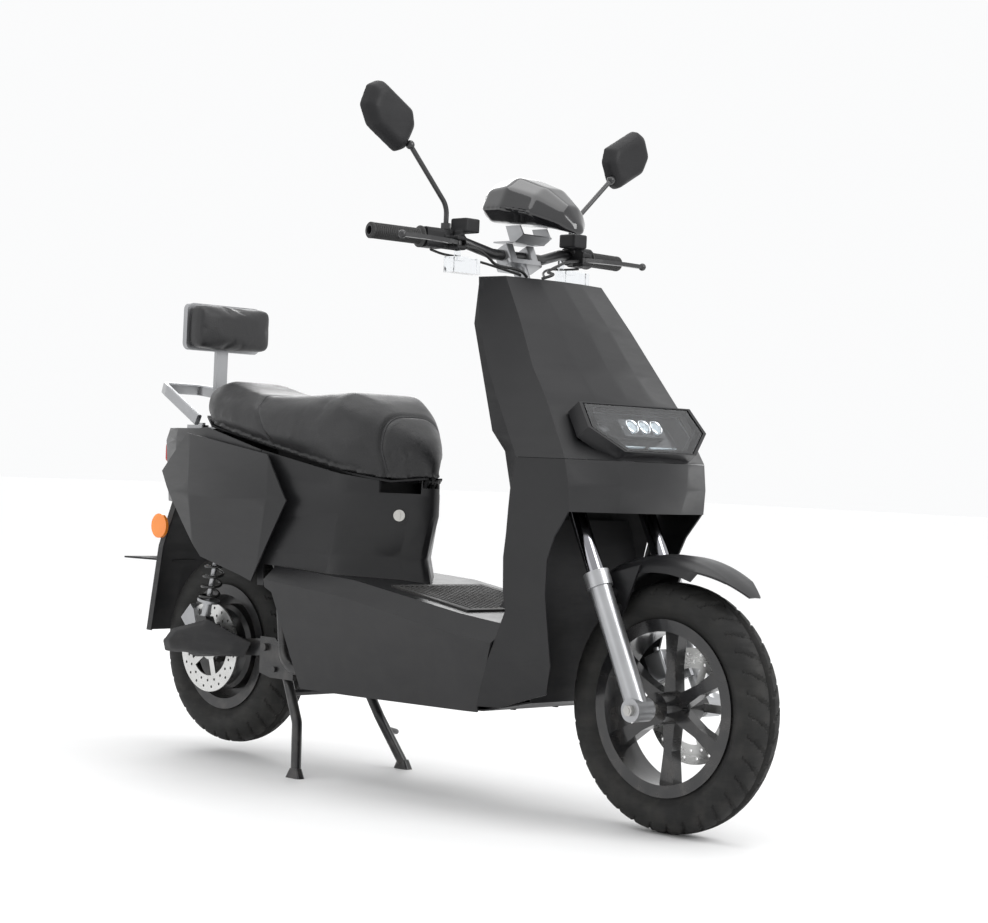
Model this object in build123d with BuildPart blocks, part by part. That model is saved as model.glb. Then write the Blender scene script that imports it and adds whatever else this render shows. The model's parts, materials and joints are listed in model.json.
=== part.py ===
"""Electric moped scooter, standing on its centre stand.

Frame: millimetres, +X forward, +Y to the rider's left, +Z up, ground at Z = 0.
X = 0 and Y = 0 are the middle of the overall length and width.
Sections written as (x, y) pairs are right and left halves of a shape symmetric about Y = 0.
"""

from build123d import *
from math import atan2, cos, degrees, hypot, radians, sin, tan
import os

os.makedirs("parts", exist_ok=True)

# ---- overall ----
wheelbase = 1300
rear_axle_x = -578
front_axle_x = rear_axle_x + wheelbase
stand_lift = 23  # rear tyre above the ground on the centre stand

# ---- wheels ----
front_tyre_r = 234
front_tyre_width = 90
front_bead_r = 152.5
rear_tyre_r = 216
rear_tyre_width = 104
rear_bead_r = 127
front_axle_z = front_tyre_r
rear_axle_z = rear_tyre_r + stand_lift
tyre_wall = 8
spoke_count = 6
front_axle_r = 6
rear_axle_r = 8
disc_thickness = 4
front_disc_r = 110
rear_disc_r = 100
front_disc_y = 56
rear_disc_y = -81

# ---- steering and fork ----
rake = 26
yoke_offset = 40
fork_spread = 200
stanchion_r = 16.5
fork_lower_r = 21
fork_cup_r = 25
stem_r = 15
head_tube_r = 25
head_low_z, head_high_z = 705, 985
yoke_z = 640
cup_top_along = 272  # top of the silver lower, measured along the leg from the axle
fork_travel = 50
fork_floor = 11  # bottom of the lower's bore, above the axle along the leg
deck_z = 1012  # deck round the stem, behind the shield

# ---- handlebar ----
bar_r = 11
bar_half = 355
bar_end_z = 1114
bar_sweep = 48  # bar end, behind the clamp
grip_r = 16
grip_length = 122
lever_reach = 165

# ---- frame tubes ----
down_tube_r = 16
rail_r = 12
rail_y = 128
rail_z = 222
pivot_x, pivot_z = rear_axle_x + 260, 262
pivot_bolt_r = 8
stand_pivot_x, stand_pivot_z = rear_axle_x + 293, 217
stand_bolt_r = 6
bracket_thickness = 8
prop_x, prop_y, prop_z = -20, 128, 172
prop_length = 150

# ---- shells ----
wall = 3.5
seam = 0.8  # open joint between neighbouring panels
running = 0.06  # radial clearance of a shaft in its hole
clear = 0.4  # small assembly gap

# ---- seat ----
seat_hinge_x, seat_hinge_z = 40, 632
seat_pin_r = 3
seat_pan_wall = 4
seat_rest = 0.6  # height of the closed seat above the body's rim

fx, rx = front_axle_x, rear_axle_x
steer_dir = Vector(-sin(radians(rake)), 0, cos(radians(rake)))
steer_foot_x = fx + front_axle_z * tan(radians(rake)) - yoke_offset / cos(radians(rake))


def steer_x(z):
    """X of the steering axis at height z."""
    return steer_foot_x - z * tan(radians(rake))


def steer_plane(z):
    """Plane square to the steering axis at height z, its Y axis pointing forward."""
    return Plane(origin=(steer_x(z), 0, z), x_dir=(0, -1, 0), z_dir=steer_dir)


def leg_plane(y, along):
    """Plane square to a fork leg, `along` mm above the front axle."""
    foot = Vector(fx, y, front_axle_z) + steer_dir * along
    return Plane(origin=foot, x_dir=(0, 1, 0), z_dir=steer_dir)


def side(y):
    """Upright lengthwise plane at y, sketched in (x, z); it extrudes towards -Y."""
    return Plane(origin=(0, y, 0), x_dir=(1, 0, 0), z_dir=(0, -1, 0))


def across(x):
    """Upright crosswise plane at x, sketched in (y, z); it extrudes towards +X."""
    return Plane(origin=(x, 0, 0), x_dir=(0, 1, 0), z_dir=(1, 0, 0))


def inset(points, gap):
    """The open polyline moved to its right-hand side by gap, with mitred corners."""
    moved = []
    for i, (x, y) in enumerate(points):
        near = [(points[j], points[j + 1]) for j in (i - 1, i) if 0 <= j < len(points) - 1]
        normals = []
        for (ax, ay), (bx, by) in near:
            run = hypot(bx - ax, by - ay)
            normals.append(((by - ay) / run, (ax - bx) / run))
        nx, ny = sum(n[0] for n in normals), sum(n[1] for n in normals)
        size = hypot(nx, ny)
        nx, ny = nx / size, ny / size
        reach = gap / (nx * normals[0][0] + ny * normals[0][1])
        moved.append((x + nx * reach, y + ny * reach))
    return moved


def band(points, thickness=wall):
    """Closed outline of a thin strip whose outer edge is `points`."""
    return list(points) + list(reversed(inset(points, thickness)))


def both_sides(half):
    """Full open outline from its right half, given from the rear edge to the middle."""
    right = [(x, -y) for x, y in half]
    left = [(x, y) for x, y in reversed(half) if y > 0.01]
    return right + left


def shell(rows, thickness=wall):
    """Loft thin strips from row to row; a row is (z, open outline)."""
    strips = []
    for z, outline in rows:
        with BuildSketch(Plane.XY.offset(z)) as profile:
            with BuildLine():
                Polyline(*band(outline, thickness), close=True)
            make_face()
        strips.append(profile.sketch)
    loft(strips, ruled=True)


def rod(points, radius, bend=30):
    """Round bar through the points, with rounded corners."""
    with BuildLine() as route:
        if len(points) > 2:
            FilletPolyline(*points, radius=bend)
        else:
            Line(*points)
    wire = route.wires()[0]
    with BuildSketch(Plane(origin=wire @ 0, z_dir=wire % 0)) as profile:
        Circle(radius)
    sweep(profile.sketch, path=wire)


def pin_along_y(x, z, radius, low_y, high_y, mode=Mode.ADD):
    """Cylinder along Y between two y values."""
    with BuildSketch(side(high_y)) as profile:
        with Locations((x, z)):
            Circle(radius)
    extrude(profile.sketch, amount=high_y - low_y, mode=mode)


def profile_plate(points, thickness, half_width):
    """Strip following an (x, z) line, full width across Y."""
    with BuildSketch(side(0)) as profile:
        with BuildLine():
            Polyline(*band(points, thickness), close=True)
        make_face()
    extrude(profile.sketch, amount=half_width, both=True)


def keep_outline(plane, points, depth):
    """Keep only what lies inside an outline seen square to the plane."""
    with BuildSketch(plane) as profile:
        with BuildLine():
            Polyline(*points, close=True)
        make_face()
    extrude(profile.sketch, amount=depth, both=True, mode=Mode.INTERSECT)


def cut_outline(plane, points, depth):
    """Cut away an outline seen square to the plane, both ways from it."""
    with BuildSketch(plane) as profile:
        with BuildLine():
            Polyline(*points, close=True)
        make_face()
    extrude(profile.sketch, amount=depth, both=True, mode=Mode.SUBTRACT)


# ======================= wheels =======================


def wheel_axis(x, z):
    return Axis((x, 0, z), (0, 1, 0))


def tyre(x, z, outer_r, bead_r, width):
    """Hollow tyre: bead, bulging side wall and round tread."""
    half = width / 2
    foot = half - 14
    rise = outer_r - bead_r
    outside = [(foot, bead_r + 0.5), (foot, bead_r + 14), (half, bead_r + 0.52 * rise),
               (0.78 * half, bead_r + 0.86 * rise), (0, outer_r)]
    inside = [(foot - tyre_wall, bead_r + 0.5), (foot - tyre_wall, bead_r + 16),
              (half - tyre_wall, bead_r + 0.54 * rise),
              (0.78 * half - tyre_wall * 0.7, bead_r + 0.86 * rise - tyre_wall * 0.8),
              (0, outer_r - tyre_wall)]
    with BuildSketch(across(x)) as profile:
        with BuildLine():
            for line, turned in ((outside, 1), (inside, -1)):
                local = [(y, r + z) for y, r in line]
                mirrored = [(-y, r + z) for y, r in line]
                Polyline(local[0], local[1])
                Polyline(mirrored[0], mirrored[1])
                Spline(local[1], local[2], local[3], local[4], mirrored[3], mirrored[2], mirrored[1])
            for sign in (-1, 1):
                Line((sign * foot, bead_r + 0.5 + z), (sign * (foot - tyre_wall), bead_r + 0.5 + z))
        make_face()
    revolve(profile.sketch, axis=wheel_axis(x, z), revolution_arc=360)


def rim_barrel(x, z, bead_r, width, flange=13):
    """Rim seat with two flanges that hold the tyre beads."""
    half = width / 2 - 14 + 0.5
    points = [(half, bead_r), (half, bead_r + flange), (half + 4, bead_r + flange), (half + 4, bead_r - 10),
              (-half - 4, bead_r - 10), (-half - 4, bead_r + flange), (-half, bead_r + flange), (-half, bead_r)]
    with BuildSketch(across(x)) as profile:
        with BuildLine():
            Polyline(*[(y, r + z) for y, r in points], close=True)
        make_face()
    revolve(profile.sketch, axis=wheel_axis(x, z), revolution_arc=360)


def brake_disc(x, z, y, outer_r, inner_r, bore_r, arms):
    """Drilled brake ring on a bolted spider."""
    with BuildSketch(side(y + disc_thickness / 2)) as profile:
        with Locations((x, z)):
            Circle(outer_r)
            Circle(inner_r, mode=Mode.SUBTRACT)
            with PolarLocations(0, arms):
                Rectangle(inner_r + 4, 16, align=(Align.MIN, Align.CENTER))
            Circle(bore_r + 14)
            Circle(bore_r, mode=Mode.SUBTRACT)
            for ring, turn in ((0.3, 0), (0.7, 9)):
                with PolarLocations(inner_r + ring * (outer_r - inner_r), 20, start_angle=turn):
                    Circle(3, mode=Mode.SUBTRACT)
    extrude(profile.sketch, amount=disc_thickness)


front_hub_half = front_disc_y - disc_thickness / 2
front_hub_r = 30
with BuildPart() as front_rim:
    rim_barrel(fx, front_axle_z, front_bead_r, front_tyre_width)
    with BuildSketch(side(0)):
        with Locations((fx, front_axle_z)):
            with PolarLocations(0, spoke_count, start_angle=90):
                Polygon((20, -15), (80, -10), (front_bead_r - 8, -17), (front_bead_r - 8, 17),
                        (80, 10), (20, 15), align=None)
    extrude(amount=13, both=True)
    pin_along_y(fx, front_axle_z, front_hub_r, -front_hub_half, front_hub_half)
    pin_along_y(fx, front_axle_z, front_axle_r + running, -front_hub_half, front_hub_half, Mode.SUBTRACT)
front_rim.part.label = "front_rim"
export_step(front_rim.part, "parts/front_rim.step")

with BuildPart() as front_tyre:
    tyre(fx, front_axle_z, front_tyre_r, front_bead_r, front_tyre_width)
front_tyre.part.label = "front_tyre"
export_step(front_tyre.part, "parts/front_tyre.step")

with BuildPart() as front_disc:
    brake_disc(fx, front_axle_z, front_disc_y, front_disc_r, 72, front_axle_r + 6, 5)
front_disc.part.label = "front_disc"
export_step(front_disc.part, "parts/front_disc.step")

rear_hub_half = 46
rear_boss_r = 34
with BuildPart() as rear_hub:
    rim_barrel(rx, rear_axle_z, rear_bead_r, rear_tyre_width)
    pin_along_y(rx, rear_axle_z, rear_bead_r - 9, -8, 8)
    pin_along_y(rx, rear_axle_z, 96, -rear_hub_half, rear_hub_half)
    chamfer(rear_hub.edges().filter_by(GeomType.CIRCLE).filter_by(lambda e: abs(e.radius - 96) < 0.1)
            .group_by(Axis.Y)[0], 8)
    chamfer(rear_hub.edges().filter_by(GeomType.CIRCLE).filter_by(lambda e: abs(e.radius - 96) < 0.1)
            .group_by(Axis.Y)[-1], 8)
    pin_along_y(rx, rear_axle_z, rear_boss_r, rear_disc_y + disc_thickness / 2, -rear_hub_half)
    pin_along_y(rx, rear_axle_z, rear_axle_r + running, -120, 120, Mode.SUBTRACT)
rear_hub.part.label = "rear_hub"
export_step(rear_hub.part, "parts/rear_hub.step")

with BuildPart() as rear_tyre:
    tyre(rx, rear_axle_z, rear_tyre_r, rear_bead_r, rear_tyre_width)
rear_tyre.part.label = "rear_tyre"
export_step(rear_tyre.part, "parts/rear_tyre.step")

with BuildPart() as rear_disc:
    brake_disc(rx, rear_axle_z, rear_disc_y, rear_disc_r, 64, rear_axle_r + 6, 5)
rear_disc.part.label = "rear_disc"
export_step(rear_disc.part, "parts/rear_disc.step")

# ======================= fork and steering =======================
leg_y = fork_spread / 2
yoke_along = (yoke_z - front_axle_z) / cos(radians(rake))
lug_half = fork_lower_r + 2  # axle lug, half its length along Y

with BuildPart() as fork_lowers:
    for y in (-leg_y, leg_y):
        with BuildSketch(leg_plane(y, -6)):
            Circle(fork_lower_r)
        extrude(amount=cup_top_along - 20)
        with BuildSketch(leg_plane(y, cup_top_along - 30)):
            Circle(fork_cup_r)
        extrude(amount=30)
        pin_along_y(fx, front_axle_z, fork_lower_r + 1, y - lug_half, y + lug_half)
    # flat lug that carries the caliper, on the inside of the left leg
    with BuildSketch(leg_plane(leg_y, 60)):
        with Locations((-fork_lower_r - 2, 20)):
            Rectangle(12, 52)
    extrude(amount=46)
    for y in (-leg_y, leg_y):
        with BuildSketch(leg_plane(y, fork_floor)):
            Circle(stanchion_r + running)
        extrude(amount=cup_top_along, mode=Mode.SUBTRACT)
    pin_along_y(fx, front_axle_z, front_axle_r + running, -leg_y - 40, leg_y + 40, Mode.SUBTRACT)
fork_lowers.part.label = "fork_lowers"
export_step(fork_lowers.part, "parts/fork_lowers.step")

axle_nut_y = leg_y + lug_half
with BuildPart() as front_axle:
    pin_along_y(fx, front_axle_z, front_axle_r, -axle_nut_y - 9, axle_nut_y + 9)
    for low in (-axle_nut_y - 8, axle_nut_y):
        with BuildSketch(side(low + 8)):
            with Locations((fx, front_axle_z)):
                RegularPolygon(11, 6)
        extrude(amount=8)
    # spacers between hub and legs
    for low, high in ((-leg_y + lug_half, -front_hub_half - clear), (front_disc_y + disc_thickness / 2 + clear, leg_y - lug_half)):
        pin_along_y(fx, front_axle_z, front_axle_r + 4, low, high)
front_axle.part.label = "front_axle"
export_step(front_axle.part, "parts/front_axle.step")

with BuildPart() as fork_stanchions:
    for y in (-leg_y, leg_y):
        with BuildSketch(leg_plane(y, fork_floor + fork_travel + 2)):
            Circle(stanchion_r)
            Circle(stanchion_r - 3, mode=Mode.SUBTRACT)
        extrude(amount=yoke_along + 20 - fork_floor - fork_travel - 2)
fork_stanchions.part.label = "fork_stanchions"
export_step(fork_stanchions.part, "parts/fork_stanchions.step")

top_clamp_z = 1078
with BuildPart() as steering_stem:
    with BuildSketch(steer_plane(yoke_z)):
        with BuildLine():
            Polyline((-26, -24), (26, -24), (leg_y + 24, yoke_offset - 16), (leg_y + 24, yoke_offset + 20),
                     (leg_y - 22, yoke_offset + 26), (26, 30), (-26, 30), (-leg_y + 22, yoke_offset + 26),
                     (-leg_y - 24, yoke_offset + 20), (-leg_y - 24, yoke_offset - 16), close=True)
        make_face()
        for x in (-leg_y, leg_y):
            with Locations((x, yoke_offset)):
                Circle(stanchion_r + running, mode=Mode.SUBTRACT)
    extrude(amount=13, both=True)
    stem_length = (top_clamp_z - yoke_z) / cos(radians(rake))
    with BuildSketch(steer_plane(yoke_z)):
        Circle(stem_r)
    extrude(amount=stem_length)
    # race that rests against the foot of the head tube
    with BuildSketch(steer_plane(head_low_z)):
        Circle(stem_r + 5)
    extrude(amount=-8)
    # top plate with the handlebar clamp blocks
    with BuildSketch(steer_plane(top_clamp_z)):
        RectangleRounded(96, 44, 8)
    extrude(amount=-10)
    for x in (-30, 30):
        with BuildSketch(steer_plane(top_clamp_z)):
            with Locations((x, 0)):
                RectangleRounded(22, 40, 4)
        extrude(amount=34)
    bar_mid = Vector(steer_x(top_clamp_z), 0, top_clamp_z) + steer_dir * 17
    pin_along_y(bar_mid.X, bar_mid.Z, bar_r + running, -60, 60, Mode.SUBTRACT)
steering_stem.part.label = "steering_stem"
export_step(steering_stem.part, "parts/steering_stem.step")

bar_end_x = bar_mid.X - bar_sweep
bar_knee = (bar_mid.X - 14, 140, bar_end_z - 3)
bar_dir = (Vector(bar_end_x, bar_half, bar_end_z) - Vector(*bar_knee)).normalized()


def bar_point(from_end, sign):
    """Point on the straight outer bar, from_end mm in from its tip."""
    p = Vector(bar_end_x, bar_half, bar_end_z) - bar_dir * from_end
    return Vector(p.X, sign * p.Y, p.Z)


def bar_plane(from_end, sign):
    """Plane square to the outer bar, its Y axis up and its normal outward."""
    out = Vector(bar_dir.X, sign * bar_dir.Y, bar_dir.Z)
    return Plane(origin=bar_point(from_end, sign), x_dir=Vector(0, 0, 1).cross(out) * 1.0, z_dir=out)


with BuildPart() as handlebar:
    tips = [bar_point(0, s) for s in (-1, 1)]
    rod([tuple(tips[0]), (bar_knee[0], -bar_knee[1], bar_knee[2]), (bar_mid.X, -70, bar_mid.Z),
         (bar_mid.X, 70, bar_mid.Z), bar_knee, tuple(tips[1])], bar_r, 30)
    for sign in (-1, 1):
        with BuildSketch(bar_plane(0, sign)):
            Circle(bar_r - 2.5)
        extrude(amount=-grip_length, mode=Mode.SUBTRACT)
handlebar.part.label = "handlebar"
export_step(handlebar.part, "parts/handlebar.step")


def grip(sign):
    """Ribbed grip with an end flange, closed at the tip."""
    with BuildSketch(bar_plane(-3, sign)) as profile:
        Circle(grip_r)
    extrude(profile.sketch, amount=-grip_length)
    with BuildSketch(bar_plane(grip_length - 10, sign)) as profile:
        Circle(grip_r + 6)
    extrude(profile.sketch, amount=7)
    with BuildSketch(bar_plane(-3, sign)) as profile:
        Circle(grip_r + 3)
    extrude(profile.sketch, amount=-5)
    with BuildSketch(bar_plane(-0.3, sign)) as profile:
        Circle(bar_r + running)
    extrude(profile.sketch, amount=-grip_length - 20, mode=Mode.SUBTRACT)


with BuildPart() as throttle_grip:
    grip(-1)
throttle_grip.part.label = "throttle_grip"
export_step(throttle_grip.part, "parts/throttle_grip.step")

with BuildPart() as left_grip:
    grip(1)
left_grip.part.label = "left_grip"
export_step(left_grip.part, "parts/left_grip.step")

housing_width = 40
housing_from_end = grip_length + 1
button_r = 6
button_travel = 3
with BuildPart() as switch_housings:
    for sign in (-1, 1):
        with BuildSketch(bar_plane(housing_from_end, sign)):
            RectangleRounded(38, 40, 8)
            Circle(bar_r + running, mode=Mode.SUBTRACT)
        extrude(amount=-housing_width)
    # pocket of the horn button, on the rider's side of the left housing
    horn_plane = Plane(origin=bar_point(housing_from_end + 20, 1) + Vector(-19, 0, 4), x_dir=(0, 1, 0), z_dir=(-1, 0, 0))
    with BuildSketch(horn_plane.offset(2)):
        Circle(button_r + 0.3)
    extrude(amount=-6, mode=Mode.SUBTRACT)
switch_housings.part.label = "switch_housings"
export_step(switch_housings.part, "parts/switch_housings.step")

with BuildPart() as horn_button:
    with BuildSketch(horn_plane.offset(-0.4)):
        Circle(button_r)
    extrude(amount=button_travel + 0.5)
horn_button.part.label = "horn_button"
export_step(horn_button.part, "parts/horn_button.step")

clamp_from_end = housing_from_end + housing_width + 1
clamp_width = 28
reservoir_size = (46, 40, 28)
lever_pin_r = 4


def clamp_point(sign):
    return bar_point(clamp_from_end + clamp_width / 2, sign)


def lever_pivot(sign):
    """Lever pin, in front of the clamp."""
    p = clamp_point(sign)
    return Vector(p.X + 34, p.Y, p.Z - 8)


mirror_foot = Vector(clamp_point(1).X, clamp_point(1).Y, clamp_point(1).Z + 20)
with BuildPart() as brake_reservoirs:
    for sign in (-1, 1):
        p = clamp_point(sign)
        with BuildSketch(bar_plane(clamp_from_end, sign)):
            Circle(bar_r + 8)
        extrude(amount=-clamp_width)
        # master cylinder body and its lever fork, with a mirror boss on top
        with BuildSketch(Plane(origin=(p.X + 34, p.Y, p.Z - 22), z_dir=(0, 0, 1))):
            Rectangle(30, clamp_width - 4)
        extrude(amount=28)
        with BuildSketch(Plane(origin=(p.X, p.Y, p.Z + 8), z_dir=(0, 0, 1))):
            Circle(11)
        extrude(amount=12)
        with BuildSketch(Plane(origin=(p.X + 30, p.Y - sign * 24, p.Z + 14), z_dir=(0, 0, 1))):
            RectangleRounded(reservoir_size[0], reservoir_size[1], 5)
        extrude(amount=reservoir_size[2])
        with BuildSketch(Plane(origin=(p.X + 34, p.Y - sign * 6, p.Z + 4), z_dir=(0, 0, 1))):
            Rectangle(20, 12)
        extrude(amount=12)
        with BuildSketch(Plane(origin=(p.X + 34, p.Y + sign * 4, p.Z - 13), z_dir=(0, 0, 1))):
            Rectangle(34, clamp_width + 2)
        extrude(amount=10, mode=Mode.SUBTRACT)
        with BuildSketch(bar_plane(clamp_from_end - 20, sign)):
            Circle(bar_r + running)
        extrude(amount=-clamp_width - 60, mode=Mode.SUBTRACT)
        # mirror thread
        with BuildSketch(Plane(origin=(p.X, p.Y, p.Z + 24), z_dir=(0, 0, 1))):
            Circle(5 + running)
        extrude(amount=-10, mode=Mode.SUBTRACT)
    for sign in (-1, 1):
        q = lever_pivot(sign)
        with BuildSketch(Plane(origin=(q.X, q.Y, q.Z - 16), z_dir=(0, 0, 1))):
            Circle(lever_pin_r)
        extrude(amount=20)
brake_reservoirs.part.label = "brake_reservoirs"
export_step(brake_reservoirs.part, "parts/brake_reservoirs.step")


def lever(sign):
    """Cast brake lever with a ball end, pivoted in the clamp's fork."""
    q = lever_pivot(sign)
    with BuildSketch(Plane(origin=(q.X, q.Y, q.Z - 4.2), z_dir=(0, 0, 1))) as profile:
        Circle(lever_pin_r + 6)
        Polygon((-6, 0), (8, 0), (22, sign * 40), (30, sign * 100), (26, sign * lever_reach),
                (17, sign * lever_reach), (19, sign * 100), (9, sign * 44), align=None)
        Circle(lever_pin_r + running, mode=Mode.SUBTRACT)
    extrude(profile.sketch, amount=8.4)
    with Locations((q.X + 21, q.Y + sign * lever_reach, q.Z)):
        Sphere(8)


with BuildPart() as right_lever:
    lever(-1)
right_lever.part.label = "right_lever"
export_step(right_lever.part, "parts/right_lever.step")

with BuildPart() as left_lever:
    lever(1)
left_lever.part.label = "left_lever"
export_step(left_lever.part, "parts/left_lever.step")

mirror_top = (mirror_foot.X + 6, 289, 1284)
mirror_ball_r = 9
mirror_centre = (mirror_foot.X + 2, 340, 1334)
mirror_depth = 34


def mirror_arm(sign):
    """Threaded foot, bent stem and ball."""
    foot_y = sign * mirror_foot.Y
    with BuildSketch(Plane(origin=(mirror_foot.X, foot_y, mirror_foot.Z - 5), z_dir=(0, 0, 1))) as profile:
        Circle(5)
    extrude(profile.sketch, amount=8)
    with BuildSketch(Plane(origin=(mirror_foot.X, foot_y, mirror_foot.Z + 0.3), z_dir=(0, 0, 1))) as profile:
        RegularPolygon(10, 6)
    extrude(profile.sketch, amount=12)
    rod([(mirror_foot.X, foot_y, mirror_foot.Z + 10), (mirror_foot.X, foot_y, mirror_foot.Z + 46),
         (mirror_top[0], sign * mirror_top[1], mirror_top[2])], 5, 40)
    with Locations((mirror_top[0], sign * mirror_top[1], mirror_top[2])):
        Sphere(mirror_ball_r)


def mirror_head(sign):
    """Faceted housing with the glass facing back, socketed on the ball."""
    cx, cy, cz = mirror_centre
    tilt = 30
    outline = [(-66, -30), (-54, -46), (30, -46), (66, -22), (72, 22), (56, 44), (-40, 44), (-62, 20)]
    turned = [(sign * (u * cos(radians(tilt)) - v * sin(radians(tilt))),
               u * sin(radians(tilt)) + v * cos(radians(tilt))) for u, v in outline]
    back = Plane(origin=(cx - mirror_depth / 2, sign * cy, cz), x_dir=(0, 1, 0), z_dir=(1, 0, 0))
    slices = []
    for offset_x, size in ((0, 1.0), (0.62 * mirror_depth, 0.97), (mirror_depth, 0.74)):
        with BuildSketch(back.offset(offset_x)) as profile:
            with BuildLine():
                Polyline(*[(u * size, v * size) for u, v in turned], close=True)
            make_face()
        slices.append(profile.sketch)
    loft(slices, ruled=True)
    with BuildSketch(back) as profile:
        with BuildLine():
            Polyline(*[(u * 0.92, v * 0.92) for u, v in turned], close=True)
        make_face()
    extrude(profile.sketch, amount=3, mode=Mode.SUBTRACT)
    with Locations((mirror_top[0], sign * mirror_top[1], mirror_top[2])):
        Sphere(mirror_ball_r + 0.4, mode=Mode.SUBTRACT)
    # room for the stem below the ball
    stem_dir = Vector(mirror_top[0] - mirror_foot.X, sign * (mirror_top[1] - mirror_foot.Y),
                      mirror_top[2] - mirror_foot.Z - 46).normalized()
    with BuildSketch(Plane(origin=Vector(mirror_top[0], sign * mirror_top[1], mirror_top[2]), z_dir=stem_dir)) as profile:
        Circle(mirror_ball_r - 0.5)
    extrude(profile.sketch, amount=-60, taper=-8, mode=Mode.SUBTRACT)


with BuildPart() as right_mirror_arm:
    mirror_arm(-1)
right_mirror_arm.part.label = "right_mirror_arm"
export_step(right_mirror_arm.part, "parts/right_mirror_arm.step")

with BuildPart() as left_mirror_arm:
    mirror_arm(1)
left_mirror_arm.part.label = "left_mirror_arm"
export_step(left_mirror_arm.part, "parts/left_mirror_arm.step")

with BuildPart() as right_mirror_head:
    mirror_head(-1)
right_mirror_head.part.label = "right_mirror_head"
export_step(right_mirror_head.part, "parts/right_mirror_head.step")

with BuildPart() as left_mirror_head:
    mirror_head(1)
left_mirror_head.part.label = "left_mirror_head"
export_step(left_mirror_head.part, "parts/left_mirror_head.step")

# ======================= dash, lamps and cables on the bars =======================
pod_z = 1190
pod_rows = [(-52, 46, -22, 40), (-30, 74, -30, 54), (30, 84, -36, 60), (100, 72, -42, 36), (152, 40, -54, -2),
            (172, 14, -60, -40)]
with BuildPart() as dash_pod:
    for ahead, half, below, above in pod_rows:
        with BuildSketch(across(bar_mid.X + ahead)):
            with BuildLine():
                rise = above - below
                Polyline((-half, pod_z + below + 0.3 * rise), (-0.62 * half, pod_z + below),
                         (0.62 * half, pod_z + below), (half, pod_z + below + 0.3 * rise),
                         (0.75 * half, pod_z + below + 0.75 * rise), (0.35 * half, pod_z + above),
                         (-0.35 * half, pod_z + above), (-0.75 * half, pod_z + below + 0.75 * rise), close=True)
            make_face()
    loft(ruled=True)
    # gauge bezel, a dark drum at the rider's side
    with BuildSketch(Plane(origin=(bar_mid.X - 40, 0, pod_z + 8), x_dir=(0, 1, 0), z_dir=(-1, 0, 0.35))):
        Circle(36)
    extrude(amount=28)
dash_pod.part.label = "dash_pod"
export_step(dash_pod.part, "parts/dash_pod.step")

bracket_foot_z = bar_mid.Z + 21
with BuildPart() as dash_bracket:
    # folded plate: foot on the clamp blocks, web up to the pod, with slots and a toothed edge
    with BuildSketch(side(0)):
        with BuildLine():
            Polyline(*band([(bar_mid.X + 58, pod_z - 58), (bar_mid.X + 36, bracket_foot_z + 4),
                            (bar_mid.X - 24, bracket_foot_z + 4)], 3), close=True)
        make_face()
    extrude(amount=42, both=True)
    with BuildSketch(across(bar_mid.X + 20)):
        for y in (-22, 22):
            with Locations((y, bracket_foot_z + 34)):
                SlotOverall(26, 8, rotation=60 if y < 0 else -60)
    extrude(amount=80, mode=Mode.SUBTRACT)
    for y in (-38, 38):
        with BuildSketch(side(y + 1.5)):
            with BuildLine():
                Polyline((bar_mid.X + 58, pod_z - 58), (bar_mid.X + 36, bracket_foot_z + 4),
                         (bar_mid.X + 20, bracket_foot_z + 6), (bar_mid.X + 6, pod_z - 38),
                         (bar_mid.X + 46, pod_z - 38), close=True)
            make_face()
        extrude(amount=3)
dash_bracket.part.label = "dash_bracket"
export_step(dash_bracket.part, "parts/dash_bracket.step")

signal_y, signal_z = 158, 1061
with BuildPart() as turn_signals:
    for sign in (-1, 1):
        p = Vector(bar_mid.X + 8, sign * signal_y, signal_z)
        with BuildSketch(Plane(origin=(p.X, p.Y, p.Z - 15), z_dir=(0, 0, 1))):
            RectangleRounded(34, 76, 8)
        extrude(amount=30)
        # bracket up to the bar
        with BuildSketch(Plane(origin=(bar_mid.X - 16, sign * 149, p.Z + 15), z_dir=(0, 0, 1))):
            Rectangle(5, 14)
        extrude(amount=bar_knee[2] - bar_r - 0.3 - p.Z - 15)
        with BuildSketch(Plane(origin=(p.X - 10, p.Y, p.Z + 10), z_dir=(0, 0, 1))):
            Rectangle(34, 20)
        extrude(amount=8)
turn_signals.part.label = "turn_signals"
export_step(turn_signals.part, "parts/turn_signals.step")

# ======================= front mudguard and caliper =======================
guard_r = front_tyre_r + 52
guard_half = 62
guard_front, guard_rear = 50, 128


def wheel_section(angle):
    """Plane through the front axle, its Y axis pointing out at `angle` above +X."""
    a = radians(angle)
    return Plane(origin=(fx, 0, front_axle_z), x_dir=(0, 1, 0), z_dir=(sin(a), 0, -cos(a)))


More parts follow.
